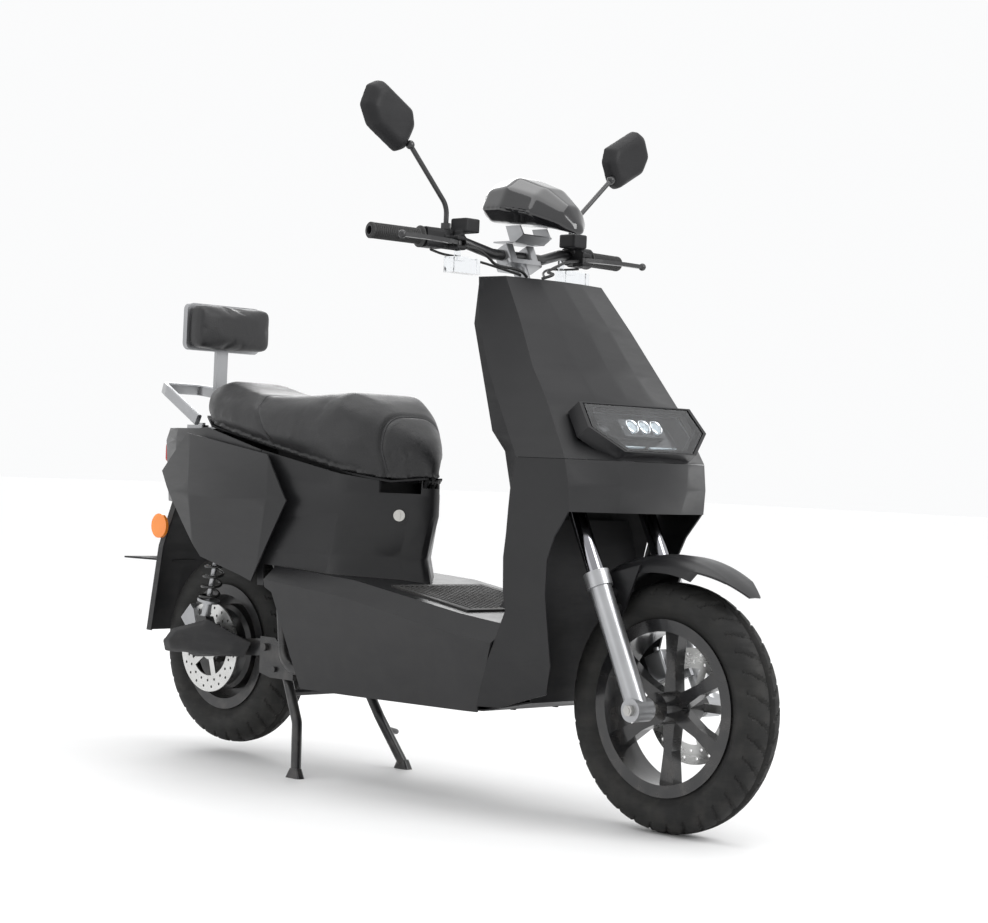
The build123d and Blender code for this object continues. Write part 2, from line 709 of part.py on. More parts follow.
with BuildPart() as front_mudguard:
    crown = [(-guard_half, guard_r - 34), (-guard_half + 4, guard_r - 14), (-guard_half + 22, guard_r - 3), (0, guard_r),
             (guard_half - 22, guard_r - 3), (guard_half - 4, guard_r - 14), (guard_half, guard_r - 34)]
    with BuildSketch(wheel_section(guard_front)):
        with BuildLine():
            Polyline(*band(crown, 3), close=True)
        make_face()
    revolve(axis=Axis((fx, 0, front_axle_z), (0, -1, 0)), revolution_arc=guard_rear - guard_front)
    # pointed nose
    tip_x = fx + guard_r * cos(radians(guard_front))
    for sign in (-1, 1):
        cut_outline(Plane.XY.offset(front_axle_z + guard_r / 2),
                    [(tip_x + 30, sign * 6), (tip_x + 30, sign * 90), (tip_x - 120, sign * 90),
                     (tip_x - 120, sign * (guard_half + 1)), (tip_x - 40, sign * 40), (tip_x + 4, sign * 12)], 400)
    # ears that bolt to the fork legs
    for sign in (-1, 1):
        with BuildSketch(side(sign * (guard_half + 1.5) + 2.5)):
            with BuildLine():
                Polyline((fx - 40, front_axle_z + guard_r - 22), (fx - 150, front_axle_z + guard_r - 52),
                         (fx - 118, front_axle_z + 158), (fx - 84, front_axle_z + 158), close=True)
            make_face()
        extrude(amount=5)
    for sign in (-1, 1):
        for along in (200, 232):
            hole = Vector(fx, 0, front_axle_z) + steer_dir * along
            low, high = sorted((sign * (guard_half + 3), sign * (leg_y - fork_lower_r - clear)))
            pin_along_y(hole.X, hole.Z, 9, low, high)
front_mudguard.part.label = "front_mudguard"
export_step(front_mudguard.part, "parts/front_mudguard.step")

with BuildPart() as front_caliper:
    face = leg_y - fork_lower_r - 8 - clear  # inner face of the caliper lug
    with BuildSketch(leg_plane(leg_y, 66)):
        with Locations((-(leg_y - face) - 16, 44)):
            Rectangle(32, 44)
    extrude(amount=58)
    with BuildSketch(side(front_disc_y + disc_thickness / 2 + 1.2)):
        with Locations((fx, front_axle_z)):
            Circle(front_disc_r + 3)
    extrude(amount=disc_thickness + 2.4, mode=Mode.SUBTRACT)
    banjo = Vector(face - 8, 44, 0)
    with BuildSketch(leg_plane(leg_y, 124)):
        with Locations((-(leg_y - face) - 12, 46)):
            Circle(6)
    extrude(amount=12)
front_caliper.part.label = "front_caliper"
export_step(front_caliper.part, "parts/front_caliper.step")

# ======================= frame =======================
head_low = Vector(steer_x(head_low_z), 0, head_low_z)
head_length = (head_high_z - head_low_z) / cos(radians(rake))
cross_x, cross_z = rx + 78, 560  # upper shock mount
tail_x, tail_z = rx - 150, 650
frame_back = rx + 320
with BuildPart() as main_frame:
    with BuildSketch(steer_plane(head_low_z).offset(clear)):
        Circle(head_tube_r)
    extrude(amount=head_length)
    rod([(fx - 322, 0, 800), (fx - 312, 0, 690), (fx - 300, 0, 600), (fx - 274, 0, 450), (fx - 294, 0, 290),
         (fx - 360, 0, rail_z)], down_tube_r, 60)
    for y in (-rail_y, rail_y):
        rod([(fx - 360, y, rail_z), (frame_back, y, rail_z), (rx + 282, y * 0.94, 430), (rx + 130, y * 0.64, 566),
             (tail_x, y * 0.56, tail_z)], rail_r, 50)
        with BuildSketch(side(y + bracket_thickness / 2)):
            with BuildLine():
                Polyline((pivot_x - 20, pivot_z + 22), (pivot_x - 20, 206), (stand_pivot_x - 16, 198),
                         (stand_pivot_x + 60, 198), (stand_pivot_x + 60, rail_z + 4), (pivot_x + 30, pivot_z + 22),
                         close=True)
            make_face()
        extrude(amount=bracket_thickness)
    pin_along_y(fx - 360, rail_z, rail_r, -rail_y - rail_r, rail_y + rail_r)
    pin_along_y(-60, rail_z, rail_r - 3, -rail_y, rail_y)
    pin_along_y(cross_x, cross_z, 14, -136, 136)
    pin_along_y(tail_x, tail_z, rail_r, -rail_y * 0.56, rail_y * 0.56)
    # bracket of the side stand under the left rail
    with BuildSketch(side(prop_y + 6)):
        with Locations((prop_x, (prop_z + rail_z) / 2)):
            Rectangle(28, rail_z - prop_z + 16)
    extrude(amount=12)
    pin_along_y(prop_x, prop_z, 4, prop_y, prop_y + 16)
    pin_along_y(pivot_x, pivot_z, pivot_bolt_r, -rail_y - 12, rail_y + 12)
    pin_along_y(stand_pivot_x, stand_pivot_z, stand_bolt_r, -rail_y - 10, rail_y + 10)
    with BuildSketch(steer_plane(head_low_z)):
        Circle(stem_r + running)
    extrude(amount=head_length + 40, both=True, mode=Mode.SUBTRACT)
main_frame.part.label = "main_frame"
export_step(main_frame.part, "parts/main_frame.step")

# ======================= swingarm, stands and shocks =======================
arm_y = 112
arm_half = 11
shock_low = Vector(rx + 18, 0, rear_axle_z + 63)
shock_high = Vector(cross_x, 0, cross_z)
shock_dir = (shock_high - shock_low).normalized()
shock_length = (shock_high - shock_low).length
shock_y = 112
shock_bolt_r = 5
with BuildPart() as swingarm:
    pin_along_y(pivot_x, pivot_z, 19, -rail_y + bracket_thickness / 2 + clear, rail_y - bracket_thickness / 2 - clear)
    for y in (-arm_y, arm_y):
        with BuildSketch(side(y + arm_half)):
            with BuildLine():
                Polyline((pivot_x - 4, pivot_z + 18), (pivot_x - 4, pivot_z - 18), (rx + 8, rear_axle_z - 20),
                         (rx - 22, rear_axle_z - 16), (rx - 26, rear_axle_z + 16), (rx - 4, rear_axle_z + 22),
                         (rx + 2, shock_low.Z + 8), (rx + 34, shock_low.Z + 8), (rx + 60, rear_axle_z + 24), close=True)
            make_face()
        extrude(amount=2 * arm_half)
        # slot that takes the shock's lower eye
        with BuildSketch(side(y + 8)):
            with Locations((shock_low.X, shock_low.Z)):
                Circle(18)
        extrude(amount=16, mode=Mode.SUBTRACT)
        pin_along_y(shock_low.X, shock_low.Z, shock_bolt_r, y - arm_half, y + arm_half)
    pin_along_y(pivot_x, pivot_z, pivot_bolt_r + running, -rail_y, rail_y, Mode.SUBTRACT)
    # fixed axle of the hub motor and its nuts
    pin_along_y(rx, rear_axle_z, rear_axle_r, -arm_y - arm_half - 12, arm_y + arm_half + 12)
    for low in (-arm_y - arm_half - 9, arm_y + arm_half):
        with BuildSketch(side(low + 9)):
            with Locations((rx, rear_axle_z)):
                RegularPolygon(14, 6)
        extrude(amount=9)
    for low, high in ((-arm_y + arm_half, rear_disc_y - disc_thickness / 2 - clear), (rear_hub_half + clear, arm_y - arm_half)):
        pin_along_y(rx, rear_axle_z, rear_axle_r + 4, low, high)
swingarm.part.label = "swingarm"
export_step(swingarm.part, "parts/swingarm.step")

cover_low = arm_y + arm_half + 13
with BuildPart() as swingarm_covers:
    for sign in (-1, 1):
        outline = [(rx + 64, rear_axle_z + 72), (rx - 70, rear_axle_z + 40), (rx - 106, rear_axle_z + 8),
                   (rx - 96, rear_axle_z - 18), (rx + 200, rear_axle_z - 8), (rx + 226, rear_axle_z + 30)]
        with BuildSketch(side(sign * cover_low)) as foot:
            with BuildLine():
                Polyline(*outline, close=True)
            make_face()
        with BuildSketch(side(sign * (cover_low + 13))) as crest:
            with BuildLine():
                Polyline(*[(rx + 50 + 0.72 * (x - rx - 50), rear_axle_z + 20 + 0.66 * (z - rear_axle_z - 20))
                           for x, z in outline], close=True)
            make_face()
        loft([foot.sketch, crest.sketch], ruled=True)
        # spacers to the arm
        for x in (rx + 40, rx + 150):
            low, high = sorted((sign * (arm_y + arm_half), sign * cover_low))
            pin_along_y(x, rear_axle_z + 8, 7, low, high)
swingarm_covers.part.label = "swingarm_covers"
export_step(swingarm_covers.part, "parts/swingarm_covers.step")

with BuildPart() as rear_caliper:
    with BuildSketch(side(rear_disc_y + 12)):
        with Locations((rx - 60, rear_axle_z + 58)):
            Rectangle(46, 52, rotation=45)
    extrude(amount=24)
    with BuildSketch(side(rear_disc_y + disc_thickness / 2 + 1.2)):
        with Locations((rx, rear_axle_z)):
            Circle(rear_disc_r + 3)
    extrude(amount=disc_thickness + 2.4, mode=Mode.SUBTRACT)
    # torque arm back to the right arm
    with BuildSketch(side(rear_disc_y - 8)):
        with BuildLine():
            Polyline((rx - 74, rear_axle_z + 62), (rx - 34, rear_axle_z - 4), (rx - 18, rear_axle_z + 16),
                     (rx - 40, rear_axle_z + 84), close=True)
        make_face()
    extrude(amount=arm_y - arm_half + rear_disc_y - 8)
rear_caliper.part.label = "rear_caliper"
export_step(rear_caliper.part, "parts/rear_caliper.step")

# axis frame of a shock: origin at the upper mount, Z towards the lower mount
shock_body_r, shock_spring_r, shock_rod_r = 17, 24, 6
with BuildPart() as shock_uppers:
    for y in (-shock_y, shock_y):
        top = Vector(shock_high.X, y, shock_high.Z)
        pin_along_y(shock_high.X, shock_high.Z, 21, y - 10, y + 10)
        with BuildSketch(Plane(origin=top, x_dir=(0, 1, 0), z_dir=-shock_dir)):
            Circle(shock_body_r)
        extrude(amount=120)
        with BuildSketch(Plane(origin=top - shock_dir * 26, x_dir=(0, 1, 0), z_dir=-shock_dir)):
            Circle(shock_spring_r + 1)
        extrude(amount=6)
        with BuildSketch(Plane(origin=top - shock_dir * 26, x_dir=(0, 1, 0), z_dir=-shock_dir)):
            Circle(shock_rod_r + running)
        extrude(amount=110, mode=Mode.SUBTRACT)
    pin_along_y(shock_high.X, shock_high.Z, 14 + running, -140, 140, Mode.SUBTRACT)
shock_uppers.part.label = "shock_uppers"
export_step(shock_uppers.part, "parts/shock_uppers.step")

spring_seat = 42  # lower spring plate above the lower eye
with BuildPart() as shock_lowers:
    for y in (-shock_y, shock_y):
        low = Vector(shock_low.X, y, shock_low.Z)
        pin_along_y(low.X, low.Z, 13, y - 7, y + 7)
        with BuildSketch(Plane(origin=low + shock_dir * 10, x_dir=(0, 1, 0), z_dir=shock_dir)):
            Circle(10)
        extrude(amount=spring_seat - 10)
        with BuildSketch(Plane(origin=low + shock_dir * spring_seat, x_dir=(0, 1, 0), z_dir=shock_dir)):
            Circle(shock_spring_r + 1)
        extrude(amount=6)
        with BuildSketch(Plane(origin=low + shock_dir * spring_seat, x_dir=(0, 1, 0), z_dir=shock_dir)):
            Circle(shock_rod_r)
        extrude(amount=140)
        pin_along_y(low.X, low.Z, shock_bolt_r + 1.4, y - 8, y + 8, Mode.SUBTRACT)
shock_lowers.part.label = "shock_lowers"
export_step(shock_lowers.part, "parts/shock_lowers.step")

with BuildPart() as shock_springs:
    for y in (-shock_y, shock_y):
        low = Vector(shock_low.X, y, shock_low.Z)
        with BuildSketch(Plane(origin=low + shock_dir * (spring_seat + 6), x_dir=(0, 1, 0), z_dir=shock_dir)):
            Circle(shock_spring_r)
            Circle(shock_spring_r - 6, mode=Mode.SUBTRACT)
        extrude(amount=shock_length - spring_seat - 6 - 32)
shock_springs.part.label = "shock_springs"
export_step(shock_springs.part, "parts/shock_springs.step")

stand_foot_x = rx + 400
with BuildPart() as centre_stand:
    pin_along_y(stand_pivot_x, stand_pivot_z, 12, -rail_y + bracket_thickness / 2 + clear,
                rail_y - bracket_thickness / 2 - clear)
    for sign in (-1, 1):
        rod([(stand_pivot_x + 4, sign * 104, stand_pivot_z - 6), (stand_pivot_x + 64, sign * 118, 110),
             (stand_foot_x, sign * 152, 14)], 11, 60)
        # rolled foot
        with BuildSketch(Plane(origin=(stand_foot_x, sign * 154, 0), z_dir=(0, 0, 1))) as pad:
            RectangleRounded(46, 22, 8)
        with BuildSketch(Plane(origin=(stand_foot_x, sign * 153, 20), z_dir=(0, 0, 1))) as neck:
            RectangleRounded(24, 18, 6)
        loft([pad.sketch, neck.sketch])
    pin_along_y(stand_pivot_x + 29, stand_pivot_z - 48, 7, -108, 108)
    # tang on the left for the rider's foot
    rod([(stand_pivot_x + 78, 118, 88), (stand_pivot_x + 60, 176, 74), (stand_pivot_x - 10, 200, 66)], 6, 20)
    pin_along_y(stand_pivot_x, stand_pivot_z, stand_bolt_r + running, -rail_y, rail_y, Mode.SUBTRACT)
centre_stand.part.label = "centre_stand"
export_step(centre_stand.part, "parts/centre_stand.step")

# ======================= front shell =======================
# rows are (z, half outline) from the rear edge, round the ridge, to the middle of the front
shield_half = [
    (1040, [(fx - 422, 140), (fx - 356, 134), (fx - 342, 60), (fx - 338, 0)]),
    (950, [(fx - 384, 172), (fx - 290, 156), (fx - 270, 70), (fx - 264, 0)]),
    (860, [(fx - 330, 196), (fx - 230, 178), (fx - 206, 80), (fx - 200, 0)]),
    (800, [(fx - 290, 208), (fx - 184, 186), (fx - 154, 84), (fx - 148, 0)]),
    (690, [(fx - 225, 216), (fx - 119, 197), (fx - 70, 90), (fx - 62, 0)]),
]
lamp_plane = Plane(origin=(fx - 100, 0, 748), x_dir=(0, 1, 0), z_dir=(0.795, 0, 0.607))
lamp_hex = [(-150, 52), (150, 52), (160, -4), (96, -56), (-96, -56), (-160, -4)]


def grown(points, amount):
    """Hexagon scaled about its middle by amount mm at the widest corner."""
    k = 1 + amount / 150
    return [(x * k, y * k) for x, y in points]


with BuildPart() as front_shield:
    shell([(z, both_sides(half)) for z, half in shield_half])
    # brow frame around the lamp opening
    with BuildSketch(lamp_plane.offset(-24)):
        with BuildLine():
            Polyline(*grown(lamp_hex, 9), close=True)
        make_face()
    extrude(amount=34)
    cut_outline(lamp_plane, grown(lamp_hex, seam), 70)
    # keep the frame clear of the row below
    with BuildSketch(Plane.XY.offset(690)):
        with Locations((fx - 100, 0)):
            Rectangle(400, 500)
    extrude(amount=-100, mode=Mode.SUBTRACT)
front_shield.part.label = "front_shield"
export_step(front_shield.part, "parts/front_shield.step")

with BuildPart() as headlight_housing:
    with BuildSketch(lamp_plane.offset(-38)):
        with BuildLine():
            Polyline(*grown(lamp_hex, -14), close=True)
        make_face()
    with BuildSketch(lamp_plane.offset(6)):
        with BuildLine():
            Polyline(*lamp_hex, close=True)
        make_face()
    loft(ruled=True)
    # bowl for the lamps
    with BuildSketch(lamp_plane.offset(6)):
        with BuildLine():
            Polyline(*grown(lamp_hex, -20), close=True)
        make_face()
    extrude(amount=-30, mode=Mode.SUBTRACT)
    # lamp block and its three lenses
    with BuildSketch(lamp_plane.offset(-26)):
        with Locations((0, 8)):
            RectangleRounded(118, 40, 6)
    extrude(amount=22)
    with BuildSketch(lamp_plane.offset(-4)):
        with Locations((-34, 8), (0, 8), (34, 8)):
            Circle(13)
    extrude(amount=4)
headlight_housing.part.label = "headlight_housing"
export_step(headlight_housing.part, "parts/headlight_housing.step")

with BuildPart() as headlight_lens:
    with BuildSketch(lamp_plane.offset(6)):
        with BuildLine():
            Polyline(*grown(lamp_hex, -3), close=True)
        make_face()
    extrude(amount=3)
headlight_lens.part.label = "headlight_lens"
export_step(headlight_lens.part, "parts/headlight_lens.step")

cowl_half = [
    (690 - seam, [(fx - 225, 216), (fx - 119, 197), (fx - 70, 90), (fx - 62, 0)]),
    (640, [(fx - 238, 214), (fx - 111, 194), (fx - 70, 90), (fx - 62, 0)]),
    (592, [(fx - 246, 210), (fx - 110, 189), (fx - 82, 88), (fx - 76, 0)]),
]
# side walls beside the wheel: (z, rear edge, arch edge)
cheek_rows = [
    (592, (fx - 246, 210), (fx - 110, 189)),
    (545, (fx - 254, 205), (fx - 146, 186)),
    (500, (fx - 264, 200), (fx - 166, 183)),
    (436, (fx - 266, 195), (fx - 172, 178)),
    (399, (fx - 259, 194), (fx - 173, 172)),
    (300, (fx - 312, 183), (fx - 178, 150)),
    (242, (fx - 346, 166), (fx - 208, 126)),
    (206, (fx - 366, 154), (fx - 322, 136)),
]
with BuildPart() as front_cowl:
    shell([(z, both_sides(half)) for z, half in cowl_half])
    for sign in (-1, 1):
        strips = []
        for z, back, front in cheek_rows:
            ends = [(back[0], sign * back[1]), (front[0], sign * front[1])]
            with BuildSketch(Plane.XY.offset(z)) as strip:
                with BuildLine():
                    Polyline(*band(ends if sign < 0 else ends[::-1]), close=True)
                make_face()
            strips.append(strip.sketch)
        loft(strips, ruled=True)
front_cowl.part.label = "front_cowl"
export_step(front_cowl.part, "parts/front_cowl.step")

with BuildPart() as splash_guard:
    profile_plate([(fx - 269, 572), (fx - 252, 450), (fx - 268, 290), (fx - 268, 219.5)], 2.5, 200)
    edge = [(152, 572), (162, 540), (170, 500), (170, 462), (187.8, 456), (187.8, 424), (166, 418), (160, 399),
            (150, 300), (104, 219)]
    keep_outline(across(0), edge + [(-y, z) for y, z in reversed(edge)], 2000)
splash_guard.part.label = "splash_guard"
export_step(splash_guard.part, "parts/splash_guard.step")

# rider's side of the front: (z, half outline) from the tongue inside the shield round to the middle
leg_half = [
    (1036, [(fx - 400, 131), (fx - 438, 120), (fx - 460, 0)]),
    (947, [(fx - 366, 160), (fx - 412, 154), (fx - 436, 0)]),
    (738, [(fx - 246, 200), (fx - 318, 186), (fx - 348, 0)]),
    (700, [(fx - 226, 206), (fx - 300, 168), (fx - 340, 0)]),
    (631, [(fx - 236, 204), (fx - 300, 150), (fx - 329, 0)]),
    (500, [(fx - 258, 192), (fx - 304, 142), (fx - 324, 0)]),
    (436, [(fx - 262, 186), (fx - 306, 136), (fx - 330, 0)]),
    (400, [(fx - 262, 182), (fx - 330, 134), (fx - 356, 0)]),
]


def rear_facing(half):
    """Open outline of a panel closed at the rear, its outer face behind."""
    left = [(x, y) for x, y in half]
    right = [(x, -y) for x, y in reversed(half) if y > 0.01]
    return left + right


with BuildPart() as leg_shield:
    shell([(z, rear_facing(half)) for z, half in leg_half])
    # top deck with the hole for the stem
    with BuildSketch(Plane.XY.offset(deck_z)):
        with BuildLine():
            Polyline((fx - 452, -40), (fx - 436, -114), (fx - 400, -124), (fx - 362, -124), (fx - 356, -60),
                     (fx - 354, 0), (fx - 356, 60), (fx - 362, 124), (fx - 400, 124), (fx - 436, 114),
                     (fx - 452, 40), close=True)
        make_face()
        with Locations((steer_x(deck_z + 1.5), 0)):
            Circle(stem_r + 6, mode=Mode.SUBTRACT)
    extrude(amount=3)
    # boss that rests on the down tube
    with BuildSketch(across(fx - 327.5)):
        with Locations((0, 631)):
            Circle(7)
    extrude(amount=6.1)
leg_shield.part.label = "leg_shield"
export_step(leg_shield.part, "parts/leg_shield.step")

# ======================= floor =======================
floor_back, floor_front = rx + 322, fx - 268
floor_mid_a, floor_mid_b = rx + 582, fx - 408
floor_rows = [  # x, lip (y, z), top (y, z), foot (y, z)
    (floor_back, (198, 412), (166, 440), (150, 186)),
    (floor_mid_a, (200, 392), (170, 426), (150, 188)),
    (floor_mid_b, (200, 346), (168, 382), (150, 192)),
    (floor_front, (196, 332), (164, 368), (150, 196)),
]
with BuildPart() as floorboard:
    slices = []
    for x, lip, top, foot in floor_rows:
        outline = [foot, lip, top]
        full = [(y, z) for y, z in outline] + [(-y, z) for y, z in reversed(outline)]
        with BuildSketch(across(x)) as ring:
            with BuildLine():
                Polyline(*band(full[::-1]), close=True)
            make_face()
        slices.append(ring.sketch)
    loft(slices, ruled=True)
    # slanted rear corner of the skirts, and the joint with the front cowl
    cut_outline(side(0), [(floor_back - 5, 398), (floor_back + 22, 386), (floor_back + 82, 170), (floor_back - 5, 170)], 300)
    cut_outline(Plane.XY.offset(370), [(fx - 312, -24), (fx - 200, -24), (fx - 200, 24), (fx - 312, 24)], 60)
    cut_outline(side(0), [(fx - 266 - seam, 440), (fx - 259 - seam, 399), (fx - 312 - seam, 300),
                          (fx - 346 - seam, 242), (fx - 366 - seam, 206), (fx - 372 - seam, 180),
                          (fx - 200, 180), (fx - 200, 440)], 300)
floorboard.part.label = "floorboard"
export_step(floorboard.part, "parts/floorboard.step")

mat_back, mat_front = rx + 646, fx - 418
with BuildPart() as floor_mat:
    slices = []
    for x, half in ((mat_back, 128), (mat_front, 140)):
        share = (x - floor_mid_a) / (floor_mid_b - floor_mid_a)
        z = 426 + share * (382 - 426) + 0.05
        with BuildSketch(across(x)) as ring:
            Rectangle(2 * half, 4, align=(Align.CENTER, Align.MIN))
        slices.append(ring.sketch.moved(Location((0, 0, z))))
    loft(slices, ruled=True)
floor_mat.part.label = "floor_mat"
export_step(floor_mat.part, "parts/floor_mat.step")

with BuildPart() as belly_pan:
    profile_plate([(fx - 270.7, 218.45), (fx - 360, 196), (floor_back + 84, 190)], 3, 145)
    keep_outline(Plane.XY.offset(200), [(floor_back + 80, -145), (fx - 365, -145), (fx - 322, -126), (fx - 268, -104),
                                        (fx - 268, 104), (fx - 322, 126), (fx - 365, 145), (floor_back + 80, 145)], 200)
    # bosses under the front cross tube
    with BuildSketch(Plane.XY.offset(195)):
        with Locations((fx - 360, -60), (fx - 360, 60)):
            Circle(6)
    extrude(amount=rail_z - rail_r - 0.3 - 195)
    # slot for the side stand's bracket
    cut_outline(Plane.XY.offset(190), [(prop_x - 20, prop_y - 9), (prop_x + 20, prop_y - 9), (prop_x + 20, prop_y + 9),
                                       (prop_x - 20, prop_y + 9)], 40)
belly_pan.part.label = "belly_pan"
export_step(belly_pan.part, "parts/belly_pan.step")

with BuildPart() as battery_pack:
    battery_base = rail_z + rail_r - 3 + 0.3  # on the middle cross tube
    with BuildSketch(Plane.XY.offset(battery_base)):
        with Locations((30, 0)):
            RectangleRounded(400, 216, 12)
    extrude(amount=120)
    with BuildSketch(Plane.XY.offset(battery_base + 120)):
        with Locations((30, 0)):
            RectangleRounded(140, 30, 8)
            RectangleRounded(108, 18, 4, mode=Mode.SUBTRACT)
    extrude(amount=12)
battery_pack.part.label = "battery_pack"
export_step(battery_pack.part, "parts/battery_pack.step")

# ======================= seat and body under it =======================
seat_line = [(rx + 622, 640), (rx + 568, 632), (rx + 465, 650), (rx + 248, 692), (rx + 20, 736), (rx - 36, 758)]
cowl_front = rx + 628
key_plane = Plane(origin=(cowl_front - 47.4, -54, 560), x_dir=(0, 0, 1), z_dir=(0.678, -0.735, 0))
key_r = 12
seat_cowl_half = [
    (600, [(rx + 262, 172), (cowl_front - 140, 138), (cowl_front - 82, 86), (cowl_front - 30, 38), (cowl_front - 2, 10),
           (cowl_front, 0)]),
    (560, [(rx + 262, 172), (cowl_front - 140, 138), (cowl_front - 82, 86), (cowl_front - 30, 38), (cowl_front - 2, 10),
           (cowl_front, 0)]),
    (470, [(rx + 262, 168), (cowl_front - 158, 140), (cowl_front - 100, 86), (cowl_front - 56, 38), (cowl_front - 28, 10),
           (cowl_front - 22, 0)]),
    (396, [(rx + 262, 162), (cowl_front - 146, 150), (cowl_front - 86, 92), (cowl_front - 36, 44), (cowl_front - 4, 10),
           (cowl_front + 2, 0)]),
]
with BuildPart() as seat_cowl:
    upper = [(760, [(rx + 262, 160), (cowl_front - 144, 130), (cowl_front - 86, 82), (cowl_front - 34, 36),
                    (cowl_front - 10, 10), (cowl_front - 6, 0)])]
    shell([(z, both_sides(half)) for z, half in upper + seat_cowl_half])
    # top edge follows the seat, foot follows the floor
    cut_outline(side(0), [(rx + 900, 634)] + [(x, z - seat_pan_wall - seat_rest) for x, z in seat_line] + [(rx - 36, 900), (rx + 900, 900)], 300)
    cut_outline(side(0), [(floor_back - 40, 441 + clear), (floor_back, 440 + clear), (floor_mid_a, 426 + clear),
                          (floor_mid_b, 382 + clear), (floor_mid_b, 300), (floor_back - 40, 300)], 300)
    # open hook slot under the nose of the seat
    cut_outline(side(0), [(rx + 550, 606), (rx + 614, 606), (rx + 614, 660), (rx + 550, 660)], 300)
    # room for the seat hinge behind the front edge
    cut_outline(Plane.XY.offset(640), [(seat_hinge_x - 40, -24), (seat_hinge_x + 40, -24), (seat_hinge_x + 40, 24),
                                       (seat_hinge_x - 40, 24)], 22)
    # lock bezel and the hole for the key barrel
    with BuildSketch(key_plane.offset(-4)):
        Circle(key_r + 6)
    extrude(amount=8)
    with BuildSketch(key_plane):
        Circle(key_r + 0.3)
    extrude(amount=30, both=True, mode=Mode.SUBTRACT)
seat_cowl.part.label = "seat_cowl"
export_step(seat_cowl.part, "parts/seat_cowl.step")

with BuildPart() as storage_tub:
    tub_back, tub_front, tub_half, tub_floor = rx + 240, rx + 500, 104, 480
    rim = [(x, z - seat_pan_wall - clear) for x, z in seat_line[1:4]]
    with BuildSketch(side(0)):
        with BuildLine():
            Polyline((tub_front, tub_floor + 40), (tub_front - 60, tub_floor), (tub_back + 30, tub_floor),
                     (tub_back, tub_floor + 30), (tub_back, rim[-1][1]), (rim[1][0], rim[1][1]),
                     (tub_front, rim[0][1]), close=True)
        make_face()
    extrude(amount=tub_half, both=True)
    with BuildSketch(side(0)):
        with BuildLine():
            Polyline((tub_front - wall, tub_floor + 42), (tub_front - 62, tub_floor + wall),
                     (tub_back + 32, tub_floor + wall), (tub_back + wall, tub_floor + 32), (tub_back + wall, 800),
                     (tub_front - wall, 800), close=True)
        make_face()
    extrude(amount=tub_half - wall, both=True, mode=Mode.SUBTRACT)
    # hinge shelf, its ears and the hinge pin
    with BuildSketch(Plane.XY.offset(590)):
        with Locations((tub_front - 1, 0)):
            Rectangle(seat_hinge_x - 8 - tub_front + 1, 28, align=(Align.MIN, Align.CENTER))
    extrude(amount=4)
    for low in (-13, 7):
        with BuildSketch(side(low + 6)):
            with BuildLine():
                Polyline((seat_hinge_x - 24, 590), (seat_hinge_x - 8, 590), (seat_hinge_x - 5, 620),
                         (seat_hinge_x + 4, seat_hinge_z + 2), (seat_hinge_x + 1, seat_hinge_z + 5),
                         (seat_hinge_x - 6, seat_hinge_z + 5), close=True)
            make_face()
        extrude(amount=6)
    pin_along_y(seat_hinge_x, seat_hinge_z, seat_pin_r, -13, 13)
storage_tub.part.label = "storage_tub"
export_step(storage_tub.part, "parts/storage_tub.step")

pan_half = 118
with BuildPart() as seat_pan:
    profile_plate(seat_line[::-1], seat_pan_wall, pan_half)
    # hinge tab between the ears
    with BuildSketch(side(3)):
        with BuildLine():
            Polyline((seat_hinge_x - 30, 634), (seat_hinge_x - 6, seat_hinge_z - 5), (seat_hinge_x + 3, seat_hinge_z - 5),
                     (seat_hinge_x + 4, 640), (seat_hinge_x - 20, 640), close=True)
        make_face()
    extrude(amount=6)
    pin_along_y(seat_hinge_x, seat_hinge_z, seat_pin_r + running, -50, 50, Mode.SUBTRACT)
    # room for the hinge ears
    for sign in (-1, 1):
        cut_outline(Plane.XY.offset(640), [(seat_hinge_x - 26, sign * 5.5), (seat_hinge_x + 20, sign * 5.5),
                                           (seat_hinge_x + 20, sign * 14.5), (seat_hinge_x - 26, sign * 14.5)], 40)
    cut_outline(side(0), [(x, z) for x, z in seat_line] + [(rx - 36, 900), (rx + 622, 900)], 300)
    pan_edge = [(rx + 628, 20), (rx + 590, 52), (rx + 540, 96), (rx + 500, pan_half), (rx + 20, pan_half), (rx - 36, 88)]
    keep_outline(Plane.XY.offset(700), pan_edge + [(x, -y) for x, y in reversed(pan_edge)], 200)
seat_pan.part.label = "seat_pan"
export_step(seat_pan.part, "parts/seat_pan.step")

# x along the seat line, top height, half width
cushion_rows = [(rx + 644, 672, 9), (rx + 634, 690, 18), (rx + 618, 712, 33), (rx + 598, 730, 52), (rx + 578, 745, 70),
                (rx + 548, 765, 98), (rx + 518, 785, 122), (rx + 488, 798, 140), (rx + 465, 808, 150), (rx + 330, 800, 155), (rx + 180, 796, 154), (rx + 90, 812, 148),
                (rx + 20, 830, 136), (rx - 36, 834, 104)]


def seat_line_z(x):
    """Height of the seat base at x."""
    for (bx, bz), (ax, az) in zip(seat_line, seat_line[1:]):
        if ax <= x <= bx:
            return az + (bz - az) * (x - ax) / (bx - ax)
    return seat_line[0][1] if x > seat_line[0][0] else seat_line[-1][1]


